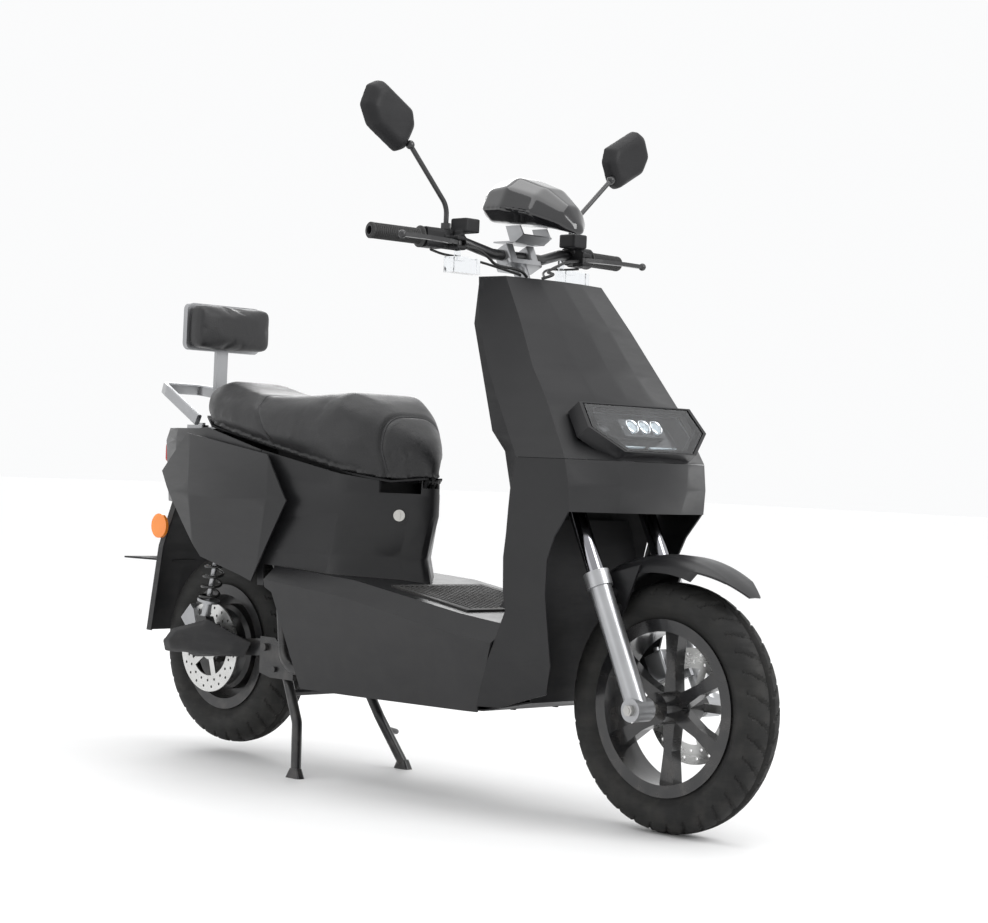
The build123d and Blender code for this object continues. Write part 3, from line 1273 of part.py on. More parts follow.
with BuildPart() as seat_cushion:
    slices = []
    for x, top, half in cushion_rows:
        low = seat_line_z(x) + 0.5
        with BuildSketch(across(x)) as ring:
            with BuildLine():
                Polyline((-0.9 * half, low), (-half, low + 0.3 * (top - low)), (-0.92 * half, top - 0.22 * (top - low)),
                         (-0.62 * half, top), (0.62 * half, top), (0.92 * half, top - 0.22 * (top - low)),
                         (half, low + 0.3 * (top - low)), (0.9 * half, low), close=True)
            make_face()
        slices.append(ring.sketch)
    loft(slices, ruled=True)
    cut_outline(side(0), [(x, z + 0.3) for x, z in seat_line] + [(rx - 60, 758), (rx - 60, 600), (rx + 700, 600), (rx + 700, 640.3)], 300)
seat_cushion.part.label = "seat_cushion"
export_step(seat_cushion.part, "parts/seat_cushion.step")

# side panels: rows of (x, y) along the right flank
flank_rows = [
    (390, [(rx + 440, 172), (rx + 270, 180), (rx + 60, 170), (rx - 160, 126)]),
    (585, [(rx + 440, 184), (rx + 320, 195), (rx + 20, 172), (rx - 160, 124)]),
    (760, [(rx + 440, 160), (rx + 280, 166), (rx - 20, 142), (rx - 160, 110)]),
]
flank_outline = [(rx - 27, 717), (rx - 142, 629), (rx - 107, 596), (rx + 73, 446), (rx + 225, 414), (rx + 262, 404),
                 (rx + 379, 580), (rx + 298, 676)]


def side_panel(sign):
    """Wide flank panel with a slanted outline."""
    strips = []
    for z, points in flank_rows:
        line = [(x, sign * y) for x, y in points]
        with BuildSketch(Plane.XY.offset(z)) as strip:
            with BuildLine():
                Polyline(*band(line[::-1] if sign < 0 else line), close=True)
            make_face()
        strips.append(strip.sketch)
    loft(strips, ruled=True)
    keep_outline(side(0), flank_outline, 300)
    # boss that rests on the tail cover
    low, high = sorted((sign * 156.7, sign * 177))
    pin_along_y(rx + 100, 600, 5, low, high)


with BuildPart() as right_side_panel:
    side_panel(-1)
right_side_panel.part.label = "right_side_panel"
export_step(right_side_panel.part, "parts/right_side_panel.step")

with BuildPart() as left_side_panel:
    side_panel(1)
left_side_panel.part.label = "left_side_panel"
export_step(left_side_panel.part, "parts/left_side_panel.step")

# tail, from the seat cowl round the back
tail_front = rx + 262 - seam
tail_half = [
    (560, [(tail_front, 171), (rx + 20, 148), (rx - 120, 108), (rx - 190, 66), (rx - 204, 0)]),
    (700, [(tail_front, 166), (rx + 20, 132), (rx - 120, 104), (rx - 216, 60), (rx - 230, 0)]),
    (760, [(tail_front, 158), (rx + 20, 124), (rx - 120, 96), (rx - 196, 54), (rx - 206, 0)]),
]
tail_top_z = 728


def tail_outline(half):
    """Open outline closed at the rear."""
    return [(x, y) for x, y in half] + [(x, -y) for x, y in reversed(half) if y > 0.01]


with BuildPart() as tail_cover:
    shell([(z, tail_outline(half)) for z, half in tail_half])
    cut_outline(side(0), [(rx + 300, 682 - seat_pan_wall - seat_rest)]
                + [(x, z - seat_pan_wall - seat_rest) for x, z in seat_line[3:5]]
                + [(rx - 20, tail_top_z), (rx - 300, tail_top_z), (rx - 300, 900), (rx + 300, 900)], 300)
    # top deck behind the seat
    with BuildSketch(Plane.XY.offset(tail_top_z - wall)):
        with BuildLine():
            Polyline((rx + 8, 126), (rx - 118, 98), (rx - 205, 54), (rx - 214, 0), (rx - 205, -54), (rx - 118, -98),
                     (rx + 8, -126), close=True)
        make_face()
    extrude(amount=wall)
    # studs that rest on the frame's tail tube
    with BuildSketch(Plane.XY.offset(tail_z + rail_r + 0.3)):
        with Locations((tail_x, -45), (tail_x, 45)):
            Circle(8)
    extrude(amount=tail_top_z - 1 - tail_z - rail_r - 0.3)
    # window for the tail lamp
    with BuildSketch(across(rx - 240)):
        with Locations((0, 672)):
            RectangleRounded(112, 46, 10)
    extrude(amount=60, mode=Mode.SUBTRACT)
tail_cover.part.label = "tail_cover"
export_step(tail_cover.part, "parts/tail_cover.step")

guard_rows = [
    (258, [(rx - 222, 78), (rx - 246, 72), (rx - 252, 0)]),
    (456, [(rx - 178, 86), (rx - 202, 80), (rx - 208, 0)]),
    (600, [(rx - 132, 72), (rx - 158, 66), (rx - 166, 0)]),
]
with BuildPart() as rear_mudguard:
    shell([(z, tail_outline(half)) for z, half in guard_rows], 3)
    # tongue bolted behind the frame's tail tube
    with BuildSketch(across(tail_x - rail_r - 3.4)):
        with Locations((0, (tail_z + 590) / 2 + 6)):
            Rectangle(90, tail_z - 590 + 12)
    extrude(amount=3)
    # number-plate bracket with two slots
    with BuildSketch(Plane.XY.offset(418)):
        with BuildLine():
            Polyline((rx - 212, -34), (rx - 378, -52), (rx - 378, 52), (rx - 212, 34), close=True)
        make_face()
        for y in (-32, 32):
            with Locations((rx - 352, y)):
                SlotOverall(24, 7, rotation=90)
                SlotOverall(24, 7, rotation=90, mode=Mode.SUBTRACT)
        with Locations((rx - 300, 0)):
            RectangleRounded(70, 30, 6, mode=Mode.SUBTRACT)
    extrude(amount=4)
rear_mudguard.part.label = "rear_mudguard"
export_step(rear_mudguard.part, "parts/rear_mudguard.step")

with BuildPart() as rear_lamps:
    with BuildSketch(across(rx - 229)):
        with Locations((0, 672)):
            RectangleRounded(111.4, 45.4, 9.7)
    extrude(amount=24)
    for sign in (-1, 1):
        for r, x, near, far in ((28, rx - 186, 92, 99), (5, rx - 172, 84.7, 92)):
            low, high = sorted((sign * near, sign * far))
            pin_along_y(x, 502, r, low, high)
rear_lamps.part.label = "rear_lamps"
export_step(rear_lamps.part, "parts/rear_lamps.step")

rail_foot = (rx - 62, 104)
with BuildPart() as grab_rail:
    for sign in (-1, 1):
        with BuildSketch(Plane.XY.offset(tail_top_z + 0.05)):
            with Locations((rail_foot[0], sign * rail_foot[1] * 0.9)):
                RectangleRounded(56, 24, 6)
        extrude(amount=8)
    with BuildLine() as route:
        FilletPolyline((rail_foot[0], -rail_foot[1] * 0.9, tail_top_z + 19), (rx - 190, -86, 812), (rx - 250, -52, 822),
                       (rx - 250, 52, 822), (rx - 190, 86, 812), (rail_foot[0], rail_foot[1] * 0.9, tail_top_z + 19),
                       radius=24)
    wire = route.wires()[0]
    with BuildSketch(Plane(origin=wire @ 0, z_dir=wire % 0, x_dir=(0, 1, 0))):
        RectangleRounded(12, 26, 4)
    sweep(path=wire)
    for sign in (-1, 1):
        with Locations((rail_foot[0] + 16, sign * rail_foot[1] * 0.9, tail_top_z)):
            Cylinder(4.2, 60, mode=Mode.SUBTRACT)
    # the bolts, loose solids in the same node
    for sign in (-1, 1):
        for r, low, high in ((7, 8.1, 13), (4, 0.4, 8.1)):
            with BuildSketch(Plane.XY.offset(tail_top_z + low)):
                with Locations((rail_foot[0] + 16, sign * rail_foot[1] * 0.9)):
                    Circle(r)
            extrude(amount=high - low)
grab_rail.part.label = "grab_rail"
export_step(grab_rail.part, "parts/grab_rail.step")

pad_x, pad_low, pad_high, pad_half = rx - 78, 907, 1014, 106
with BuildPart() as backrest_frame:
    with BuildSketch(Plane.XY.offset(tail_top_z + 0.05)):
        with Locations((rx - 108, 0)):
            RectangleRounded(60, 60, 8)
    extrude(amount=6)
    with BuildSketch(Plane.XY.offset(tail_top_z + 3)):
        with Locations((rx - 108, 0)):
            Rectangle(10, 32)
    extrude(amount=pad_low - tail_top_z + 20)
    with BuildSketch(across(pad_x - 38)):
        with Locations((0, (pad_low + pad_high) / 2)):
            RectangleRounded(2 * pad_half, pad_high - pad_low, 16)
    extrude(amount=14)
backrest_frame.part.label = "backrest_frame"
export_step(backrest_frame.part, "parts/backrest_frame.step")

with BuildPart() as backrest_pad:
    with BuildSketch(across(pad_x - 38 + 14.3)):
        with Locations((0, (pad_low + pad_high) / 2)):
            RectangleRounded(2 * pad_half + 2, pad_high - pad_low, 18)
    extrude(amount=46)
    fillet(backrest_pad.faces().sort_by(Axis.X)[-1].edges(), 12)
backrest_pad.part.label = "backrest_pad"
export_step(backrest_pad.part, "parts/backrest_pad.step")

with BuildPart() as key_switch:
    with BuildSketch(key_plane.offset(-14)):
        Circle(key_r)
    extrude(amount=22)
    with BuildSketch(key_plane.offset(8)):
        RectangleRounded(16, 5, 2)
    extrude(amount=3)
key_switch.part.label = "key_switch"
export_step(key_switch.part, "parts/key_switch.step")

# ======================= cables on the bars =======================


def cord_radii(points):
    """Large even bends: as big as the neighbouring runs allow."""
    radii = []
    for a, b, c in zip(points, points[1:], points[2:]):
        run_in, run_out = Vector(*b) - Vector(*a), Vector(*c) - Vector(*b)
        turn = radians(run_in.get_angle(run_out))
        radii.append(0.45 * min(run_in.length, run_out.length) / tan(turn / 2))
    return radii


cable_r = 3
stem_front = steer_x(1040) + stem_r + 9
with BuildPart() as control_cables:
    for sign in (-1, 1):
        q = lever_pivot(sign)
        hose = [(q.X + 3, q.Y - sign * (clamp_width / 2 - 1), q.Z - 4), (q.X + 8, sign * 128, q.Z - 8),
                (q.X + 8, sign * 100, q.Z - 20), (q.X + 2, sign * 74, q.Z - 34), (stem_front + 14, sign * 48, 1060),
                (stem_front + 4, sign * 22, 1050)]
        lead = [(bar_mid.X - 26, sign * 212, bar_end_z - 24.8), (bar_mid.X - 32, sign * 176, bar_end_z - 30),
                (bar_mid.X - 28, sign * 134, bar_end_z - 32), (bar_mid.X - 8, sign * 98, bar_end_z - 38),
                (bar_mid.X + 14, sign * 64, bar_end_z - 48), (stem_front, sign * 34, 1052)]
        for name, points in (("hose", hose), ("lead", lead)):
            radii = cord_radii(points)
            print("cable", name, sign, "radii", [round(r) for r in radii])
            with BuildLine() as route:
                FilletPolyline(*points, radius=radii)
            wire = route.wires()[0]
            with BuildSketch(Plane(origin=wire @ 0, z_dir=wire % 0)):
                Circle(cable_r if name == "hose" else cable_r - 0.5)
            sweep(path=wire)
control_cables.part.label = "control_cables"
export_step(control_cables.part, "parts/control_cables.step")

# ======================= side stand =======================
with BuildPart() as side_stand:
    pin_along_y(prop_x, prop_z, 10, prop_y + 6.3, prop_y + 14)
    rod([(prop_x, prop_y + 13, prop_z), (prop_x - prop_length + 20, prop_y + 18, prop_z - 4),
         (prop_x - prop_length, prop_y + 24, prop_z - 4)], 6, 16)
    with BuildSketch(side(prop_y + 30)):
        with Locations((prop_x - prop_length, prop_z - 4)):
            RectangleRounded(30, 26, 6)
    extrude(amount=6)
    pin_along_y(prop_x, prop_z, 4 + running, prop_y, prop_y + 40, Mode.SUBTRACT)
side_stand.part.label = "side_stand"
export_step(side_stand.part, "parts/side_stand.step")
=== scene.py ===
import bpy, bmesh, json, math
from mathutils import Vector, Matrix


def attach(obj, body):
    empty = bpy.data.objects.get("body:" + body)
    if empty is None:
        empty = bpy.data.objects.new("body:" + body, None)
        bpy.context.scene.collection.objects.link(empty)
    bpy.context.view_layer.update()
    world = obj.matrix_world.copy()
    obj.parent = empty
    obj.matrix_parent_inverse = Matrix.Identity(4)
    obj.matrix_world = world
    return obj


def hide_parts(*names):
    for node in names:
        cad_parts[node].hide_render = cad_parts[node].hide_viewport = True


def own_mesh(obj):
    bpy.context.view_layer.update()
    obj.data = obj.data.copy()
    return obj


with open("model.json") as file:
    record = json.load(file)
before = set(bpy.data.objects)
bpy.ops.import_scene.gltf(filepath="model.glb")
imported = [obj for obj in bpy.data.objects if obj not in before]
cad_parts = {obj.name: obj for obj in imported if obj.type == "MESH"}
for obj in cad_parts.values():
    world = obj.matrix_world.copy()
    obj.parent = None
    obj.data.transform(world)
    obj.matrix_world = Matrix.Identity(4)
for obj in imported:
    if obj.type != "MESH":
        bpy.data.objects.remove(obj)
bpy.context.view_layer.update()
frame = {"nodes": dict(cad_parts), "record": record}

nodes = frame["nodes"]
print("frame loaded:", len(nodes), "nodes")

# shared sizes, in millimetres, in the frame of the CAD
frontAxle = Vector((722, 0, 234))
rearAxle = Vector((-578, 0, 239))
barEnd = Vector((210.36, 355, 1114))
barKnee = Vector((244.36, 140, 1111))
barDir = (barEnd - barKnee).normalized()


# small tools

def side(point, sign):
    return Vector((point[0], point[1] * sign, point[2]))


def barPoint(fromEnd, sign):
    return side(barEnd - barDir * fromEnd, sign)


def addFace(bm, points):
    return bm.faces.new([bm.verts.new(p) for p in points])


def bevelEdges(bm, edges, offset, segments=2):
    if edges:
        bmesh.ops.bevel(bm, geom=list(edges), offset=offset, offset_type="OFFSET", segments=segments,
                        profile=0.5, affect="EDGES", clamp_overlap=True, material=-1)


def sharpEdges(bm, degrees=30):
    bm.normal_update()
    return [e for e in bm.edges if len(e.link_faces) == 2 and e.calc_face_angle(0) > math.radians(degrees)]


def prism(bm, points, shift):
    # a flat outline, extruded by the shift vector
    face = addFace(bm, points)
    grown = bmesh.ops.extrude_face_region(bm, geom=[face])
    moved = [g for g in grown["geom"] if isinstance(g, bmesh.types.BMVert)]
    bmesh.ops.translate(bm, verts=moved, vec=shift)
    return moved


def turned(bm, profile, centre, axis, steps=64, up=None):
    # profile points are (along the axis, radius)
    axis = Vector(axis).normalized()
    radial = Vector(up) if up else axis.orthogonal().normalized()
    radial = (radial - axis * radial.dot(axis)).normalized()
    line = [bm.verts.new(Vector(centre) + axis * a + radial * r) for a, r in profile]
    edges = [bm.edges.new(pair) for pair in zip(line, line[1:])]
    bmesh.ops.spin(bm, geom=line + edges, cent=Vector(centre), axis=axis, angle=2 * math.pi, steps=steps,
                   use_merge=True)
    bmesh.ops.remove_doubles(bm, verts=bm.verts, dist=0.02)


def tubeAlong(bm, points, radius, steps=12, closed=False):
    # round bar through points by extruding a ring from station to station
    points = [Vector(p) for p in points]
    ring = None
    for i, p in enumerate(points):
        ahead = (points[min(i + 1, len(points) - 1)] - points[max(i - 1, 0)]).normalized()
        if ring is None:
            turn = ahead.to_track_quat("Z", "Y")
            made = bmesh.ops.create_circle(bm, cap_ends=False, segments=steps, radius=radius,
                                           matrix=Matrix.Translation(p) @ turn.to_matrix().to_4x4())
            ring, last, was = made["verts"], p, ahead
            edges = list({e for v in ring for e in v.link_edges})
            first = ring
            continue
        grown = bmesh.ops.extrude_edge_only(bm, edges=edges)
        ring = [g for g in grown["geom"] if isinstance(g, bmesh.types.BMVert)]
        edges = [g for g in grown["geom"] if isinstance(g, bmesh.types.BMEdge)
                 and all(v in set(ring) for v in g.verts)]
        spin = was.rotation_difference(ahead).to_matrix()
        for v in ring:
            v.co = p + spin @ (v.co - last)
        last, was = p, ahead
    for loop in (first, ring):
        inLoop = set(loop)
        rim = [e for e in {e for v in loop for e in v.link_edges} if all(v in inLoop for v in e.verts)]
        bmesh.ops.holes_fill(bm, edges=rim, sides=0)


def smoothRoute(points, count=10):
    # Catmull-Rom line through the points
    points = [Vector(p) for p in points]
    line = []
    for i in range(len(points) - 1):
        a, b = points[max(i - 1, 0)], points[i]
        c, d = points[i + 1], points[min(i + 2, len(points) - 1)]
        for k in range(count):
            t = k / count
            line.append(0.5 * ((2 * b) + (c - a) * t + (2 * a - 5 * b + 4 * c - d) * t * t
                               + (3 * b - a - 3 * c + d) * t ** 3))
    return line + [points[-1]]


def madeObject(name, bm, clean=True, scale=0.001):
    if clean:
        bmesh.ops.remove_doubles(bm, verts=bm.verts, dist=0.01)
        bmesh.ops.recalc_face_normals(bm, faces=bm.faces)
    bmesh.ops.scale(bm, vec=(scale,) * 3, verts=bm.verts)
    mesh = bpy.data.meshes.new(name)
    bm.to_mesh(mesh)
    bm.free()
    obj = bpy.data.objects.new(name, mesh)
    bpy.context.scene.collection.objects.link(obj)
    return obj


def smoothShade(obj, degrees=35):
    for poly in obj.data.polygons:
        poly.use_smooth = True
    bm = bmesh.new()
    bm.from_mesh(obj.data)
    for e in bm.edges:
        e.smooth = len(e.link_faces) == 2 and e.calc_face_angle(4) < math.radians(degrees)
    bm.to_mesh(obj.data)
    bm.free()


def addSubdivision(obj, levels, corners=True):
    mod = obj.modifiers.new("rounding", "SUBSURF")
    mod.levels = mod.render_levels = levels
    mod.boundary_smooth = "PRESERVE_CORNERS" if corners else "ALL"


def addWall(obj, thickness, offset=-1):
    mod = obj.modifiers.new("wall", "SOLIDIFY")
    mod.thickness, mod.offset, mod.use_even_offset, mod.use_rim = thickness / 1000, offset, True, True
    mod.thickness_clamp = 0


def settled(obj):
    # the modifiers' result becomes the mesh
    graph = bpy.context.evaluated_depsgraph_get()
    result = bpy.data.meshes.new_from_object(obj.evaluated_get(graph))
    old = obj.data
    obj.modifiers.clear()
    obj.data = result
    bpy.data.meshes.remove(old)
    return obj


def place(obj, body, material, slotName, *replaced, materials=()):
    obj.data.materials.clear()
    for m in (material,) + tuple(materials):
        obj.data.materials.append(m)
    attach(obj, body)
    if replaced:
        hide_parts(*replaced)
    return obj


# materials

def newGroup(name, inputs, outputs):
    tree = bpy.data.node_groups.new(name, "ShaderNodeTree")
    for label, kind, value in inputs:
        s = tree.interface.new_socket(label, in_out="INPUT", socket_type=kind)
        if value is not None:
            s.default_value = value
    for label, kind in outputs:
        tree.interface.new_socket(label, in_out="OUTPUT", socket_type=kind)
    return tree, tree.nodes.new("NodeGroupInput"), tree.nodes.new("NodeGroupOutput")


def node(tree, kind, **values):
    n = tree.nodes.new(kind)
    for key, value in values.items():
        if hasattr(n, key) and key not in n.inputs:
            setattr(n, key, value)
        else:
            n.inputs[key].default_value = value
    return n


def joinNodes(tree, *pairs):
    for a, b in pairs:
        tree.links.new(a, b)


def buildToneDrift():
    # slow colour variation and fine specks between two tones
    tree, inp, out = newGroup("toneDrift", [("Vector", "NodeSocketVector", None),
                                            ("Tone", "NodeSocketColor", (0.1, 0.1, 0.1, 1)),
                                            ("Second", "NodeSocketColor", (0.2, 0.2, 0.2, 1)),
                                            ("Scale", "NodeSocketFloat", 6.0)],
                              [("Color", "NodeSocketColor")])
    slow = node(tree, "ShaderNodeTexNoise", Detail=4.0, Roughness=0.6)
    ramp = node(tree, "ShaderNodeMapRange")
    ramp.inputs["From Min"].default_value, ramp.inputs["From Max"].default_value = 0.32, 0.68
    mix = node(tree, "ShaderNodeMix", data_type="RGBA")
    joinNodes(tree, (inp.outputs["Vector"], slow.inputs["Vector"]),
              (inp.outputs["Scale"], slow.inputs["Scale"]), (slow.outputs["Fac"], ramp.inputs["Value"]),
              (ramp.outputs["Result"], mix.inputs[0]), (inp.outputs["Tone"], mix.inputs[6]),
              (inp.outputs["Second"], mix.inputs[7]), (mix.outputs[2], out.inputs["Color"]))
    return tree


def buildMouldGrain():
    # fine moulded texture as a height
    tree, inp, out = newGroup("mouldGrain", [("Vector", "NodeSocketVector", None),
                                             ("Scale", "NodeSocketFloat", 900.0),
                                             ("Cells", "NodeSocketFloat", 0.5)],
                              [("Height", "NodeSocketFloat")])
    fine = node(tree, "ShaderNodeTexNoise", Detail=3.0, Roughness=0.55)
    cells = node(tree, "ShaderNodeTexVoronoi")
    mix = node(tree, "ShaderNodeMix", data_type="FLOAT")
    joinNodes(tree, (inp.outputs["Vector"], fine.inputs["Vector"]),
              (inp.outputs["Scale"], fine.inputs["Scale"]), (inp.outputs["Vector"], cells.inputs["Vector"]),
              (inp.outputs["Scale"], cells.inputs["Scale"]), (inp.outputs["Cells"], mix.inputs[0]),
              (fine.outputs["Fac"], mix.inputs[2]), (cells.outputs["Distance"], mix.inputs[3]),
              (mix.outputs[0], out.inputs["Height"]))
    return tree


def buildHandling():
    # hairline scratches and smears, as a roughness
    tree, inp, out = newGroup("handlingMarks", [("Vector", "NodeSocketVector", None),
                                                ("Smooth", "NodeSocketFloat", 0.3),
                                                ("Rough", "NodeSocketFloat", 0.5),
                                                ("Scale", "NodeSocketFloat", 8.0)],
                              [("Roughness", "NodeSocketFloat"), ("Marks", "NodeSocketFloat")])
    stretch = node(tree, "ShaderNodeMapping")
    stretch.inputs["Scale"].default_value = (1.0, 1.0, 6.0)
    stretch.inputs["Rotation"].default_value = (0.5, 0.3, 0.7)
    smear = node(tree, "ShaderNodeTexNoise", Detail=6.0, Roughness=0.7)
    ramp = node(tree, "ShaderNodeMapRange")
    ramp.inputs["From Min"].default_value, ramp.inputs["From Max"].default_value = 0.3, 0.7
    joinNodes(tree, (inp.outputs["Vector"], stretch.inputs["Vector"]),
              (stretch.outputs["Vector"], smear.inputs["Vector"]),
              (inp.outputs["Scale"], smear.inputs["Scale"]), (smear.outputs["Fac"], ramp.inputs["Value"]),
              (inp.outputs["Smooth"], ramp.inputs["To Min"]), (inp.outputs["Rough"], ramp.inputs["To Max"]),
              (ramp.outputs["Result"], out.inputs["Roughness"]), (smear.outputs["Fac"], out.inputs["Marks"]))
    return tree


def buildRoadDust():
    # pale dust that thins out with height above the ground
    tree, inp, out = newGroup("roadDust", [("Vector", "NodeSocketVector", None),
                                           ("Color", "NodeSocketColor", (0.1, 0.1, 0.1, 1)),
                                           ("Dust", "NodeSocketColor", (0.22, 0.2, 0.18, 1)),
                                           ("Amount", "NodeSocketFloat", 0.25)],
                              [("Color", "NodeSocketColor")])
    split = node(tree, "ShaderNodeSeparateXYZ")
    low = node(tree, "ShaderNodeMapRange")
    low.inputs["From Min"].default_value, low.inputs["From Max"].default_value = 0.0, 0.6
    low.inputs["To Min"].default_value, low.inputs["To Max"].default_value = 1.0, 0.0
    patches = node(tree, "ShaderNodeTexNoise", Scale=30.0, Detail=5.0)
    spread = node(tree, "ShaderNodeMapRange")
    spread.inputs["From Min"].default_value, spread.inputs["From Max"].default_value = 0.45, 0.75
    times = node(tree, "ShaderNodeMath", operation="MULTIPLY")
    share = node(tree, "ShaderNodeMath", operation="MULTIPLY")
    mix = node(tree, "ShaderNodeMix", data_type="RGBA")
    joinNodes(tree, (inp.outputs["Vector"], split.inputs[0]), (split.outputs["Z"], low.inputs["Value"]),
              (inp.outputs["Vector"], patches.inputs["Vector"]),
              (patches.outputs["Fac"], spread.inputs["Value"]), (low.outputs["Result"], times.inputs[0]),
              (spread.outputs["Result"], times.inputs[1]), (times.outputs[0], share.inputs[0]),
              (inp.outputs["Amount"], share.inputs[1]), (share.outputs[0], mix.inputs[0]),
              (inp.outputs["Color"], mix.inputs[6]), (inp.outputs["Dust"], mix.inputs[7]),
              (mix.outputs[2], out.inputs["Color"]))
    return tree


toneDrift, mouldGrain, handlingMarks, roadDust = (buildToneDrift(), buildMouldGrain(), buildHandling(),
                                                  buildRoadDust())


def group(tree, source, **values):
    n = tree.nodes.new("ShaderNodeGroup")
    n.node_tree = source
    for key, value in values.items():
        n.inputs[key].default_value = value
    return n


def finishOf(name, tone, second, smooth, rough, grain=900.0, height=0.12, cells=0.5, metal=0.0, coat=0.0,
             coatRough=0.1, dust=0.0, drift=6.0, bumpSize=0.0004, specular=0.5, sheen=0.0):
    # one finish: tone drift, handling marks and a moulded grain on a plain shader
    mat = bpy.data.materials.new(name)
    mat.use_nodes = True
    tree = mat.node_tree
    shader = tree.nodes["Principled BSDF"]
    coords = tree.nodes.new("ShaderNodeTexCoord")
    colour = group(tree, toneDrift, Tone=tone + (1,), Second=second + (1,), Scale=drift)
    marks = group(tree, handlingMarks, Smooth=smooth, Rough=rough)
    grains = group(tree, mouldGrain, Scale=grain, Cells=cells)
    bump = node(tree, "ShaderNodeBump", Strength=height, Distance=bumpSize)
    joinNodes(tree, (coords.outputs["Object"], colour.inputs["Vector"]),
              (coords.outputs["Object"], marks.inputs["Vector"]),
              (coords.outputs["Object"], grains.inputs["Vector"]),
              (grains.outputs["Height"], bump.inputs["Height"]),
              (bump.outputs["Normal"], shader.inputs["Normal"]),
              (marks.outputs["Roughness"], shader.inputs["Roughness"]))
    last = colour.outputs["Color"]
    if dust:
        veil = group(tree, roadDust, Amount=dust)
        joinNodes(tree, (coords.outputs["Object"], veil.inputs["Vector"]), (last, veil.inputs["Color"]))
        last = veil.outputs["Color"]
    joinNodes(tree, (last, shader.inputs["Base Color"]))
    shader.inputs["Metallic"].default_value = metal
    shader.inputs["Coat Weight"].default_value = coat
    shader.inputs["Coat Roughness"].default_value = coatRough
    shader.inputs["Specular IOR Level"].default_value = specular
    shader.inputs["Sheen Weight"].default_value = sheen
    return mat


def leatherOf(name, tone, second):
    # grained vinyl: pebbled cells, soft folds and a low sheen
    mat = finishOf(name, tone, second, 0.36, 0.52, grain=420.0, height=0.35, cells=0.85, drift=9.0,
                   bumpSize=0.0009, sheen=0.06)
    tree = mat.node_tree
    coords = tree.nodes["Texture Coordinate"]
    folds = node(tree, "ShaderNodeTexNoise", Scale=22.0, Detail=3.0, Distortion=0.8)
    first = [n for n in tree.nodes if n.bl_idname == "ShaderNodeBump"][0]
    second = node(tree, "ShaderNodeBump", Strength=0.25, Distance=0.004)
    joinNodes(tree, (coords.outputs["Object"], folds.inputs["Vector"]),
              (folds.outputs["Fac"], second.inputs["Height"]),
              (second.outputs["Normal"], first.inputs["Normal"]))
    return mat


def turnedMetal(name, tone, second, centre, smooth=0.22, rough=0.38):
    # ground ring: fine circles about the wheel axis
    mat = finishOf(name, tone, second, smooth, rough, grain=300.0, height=0.05, metal=1.0, drift=30.0)
    tree = mat.node_tree
    coords = tree.nodes["Texture Coordinate"]
    shift = node(tree, "ShaderNodeMapping")
    shift.inputs["Location"].default_value = [-c / 1000 for c in centre]
    flat = node(tree, "ShaderNodeVectorMath", operation="MULTIPLY")
    flat.inputs[1].default_value = (1, 0, 1)
    far = node(tree, "ShaderNodeVectorMath", operation="LENGTH")
    times = node(tree, "ShaderNodeMath", operation="MULTIPLY")
    times.inputs[1].default_value = 2600.0
    sine = node(tree, "ShaderNodeMath", operation="SINE")
    first = [n for n in tree.nodes if n.bl_idname == "ShaderNodeBump"][0]
    circles = node(tree, "ShaderNodeBump", Strength=0.25, Distance=0.0002)
    joinNodes(tree, (coords.outputs["Object"], shift.inputs["Vector"]),
              (shift.outputs["Vector"], flat.inputs[0]), (flat.outputs["Vector"], far.inputs[0]),
              (far.outputs["Value"], times.inputs[0]), (times.outputs[0], sine.inputs[0]),
              (sine.outputs[0], circles.inputs["Height"]),
              (circles.outputs["Normal"], first.inputs["Normal"]))
    return mat


def lensOf(name, tint, rough=0.03, weight=1.0):
    mat = finishOf(name, tint, tuple(c * 0.94 for c in tint), rough, rough + 0.05, grain=60.0, height=0.02,
                   bumpSize=0.0002)
    shader = mat.node_tree.nodes["Principled BSDF"]
    shader.inputs["Transmission Weight"].default_value = weight
    shader.inputs["IOR"].default_value = 1.45
    return mat


satinShell = finishOf("satinShell", (0.009, 0.009, 0.010), (0.012, 0.012, 0.013), 0.30, 0.40, grain=1400.0,
                      height=0.06, dust=0.03, specular=0.38)
glossShell = finishOf("glossShell", (0.006, 0.006, 0.007), (0.010, 0.010, 0.011), 0.08, 0.16, height=0.02,
                      coat=0.6, coatRough=0.03)
mouldedBlack = finishOf("mouldedBlack", (0.007, 0.007, 0.008), (0.011, 0.011, 0.012), 0.45, 0.62, grain=700.0,
                        height=0.3, dust=0.06, specular=0.3)
tyreRubber = finishOf("tyreRubber", (0.010, 0.010, 0.010), (0.017, 0.017, 0.016), 0.55, 0.8, grain=500.0,
                      height=0.25, dust=0.08, specular=0.3)
rimPaint = finishOf("rimPaint", (0.008, 0.008, 0.009), (0.012, 0.012, 0.013), 0.18, 0.3, height=0.05,
                    coat=0.35, dust=0.2)
framePaint = finishOf("framePaint", (0.010, 0.010, 0.011), (0.016, 0.016, 0.017), 0.25, 0.4, height=0.12,
                      coat=0.2, dust=0.25)
gripRubber = finishOf("gripRubber", (0.014, 0.014, 0.014), (0.022, 0.022, 0.022), 0.5, 0.7, grain=900.0,
                      height=0.35)
matRubber = finishOf("matRubber", (0.018, 0.018, 0.019), (0.032, 0.031, 0.030), 0.5, 0.75, grain=600.0,
                     height=0.4, dust=0.3)
cableSkin = finishOf("cableSkin", (0.010, 0.010, 0.010), (0.018, 0.018, 0.018), 0.4, 0.55, grain=500.0,
                     height=0.2)
satinAlloy = finishOf("satinAlloy", (0.34, 0.345, 0.355), (0.42, 0.425, 0.435), 0.28, 0.4, grain=900.0,
                      height=0.08, metal=0.85, dust=0.1)
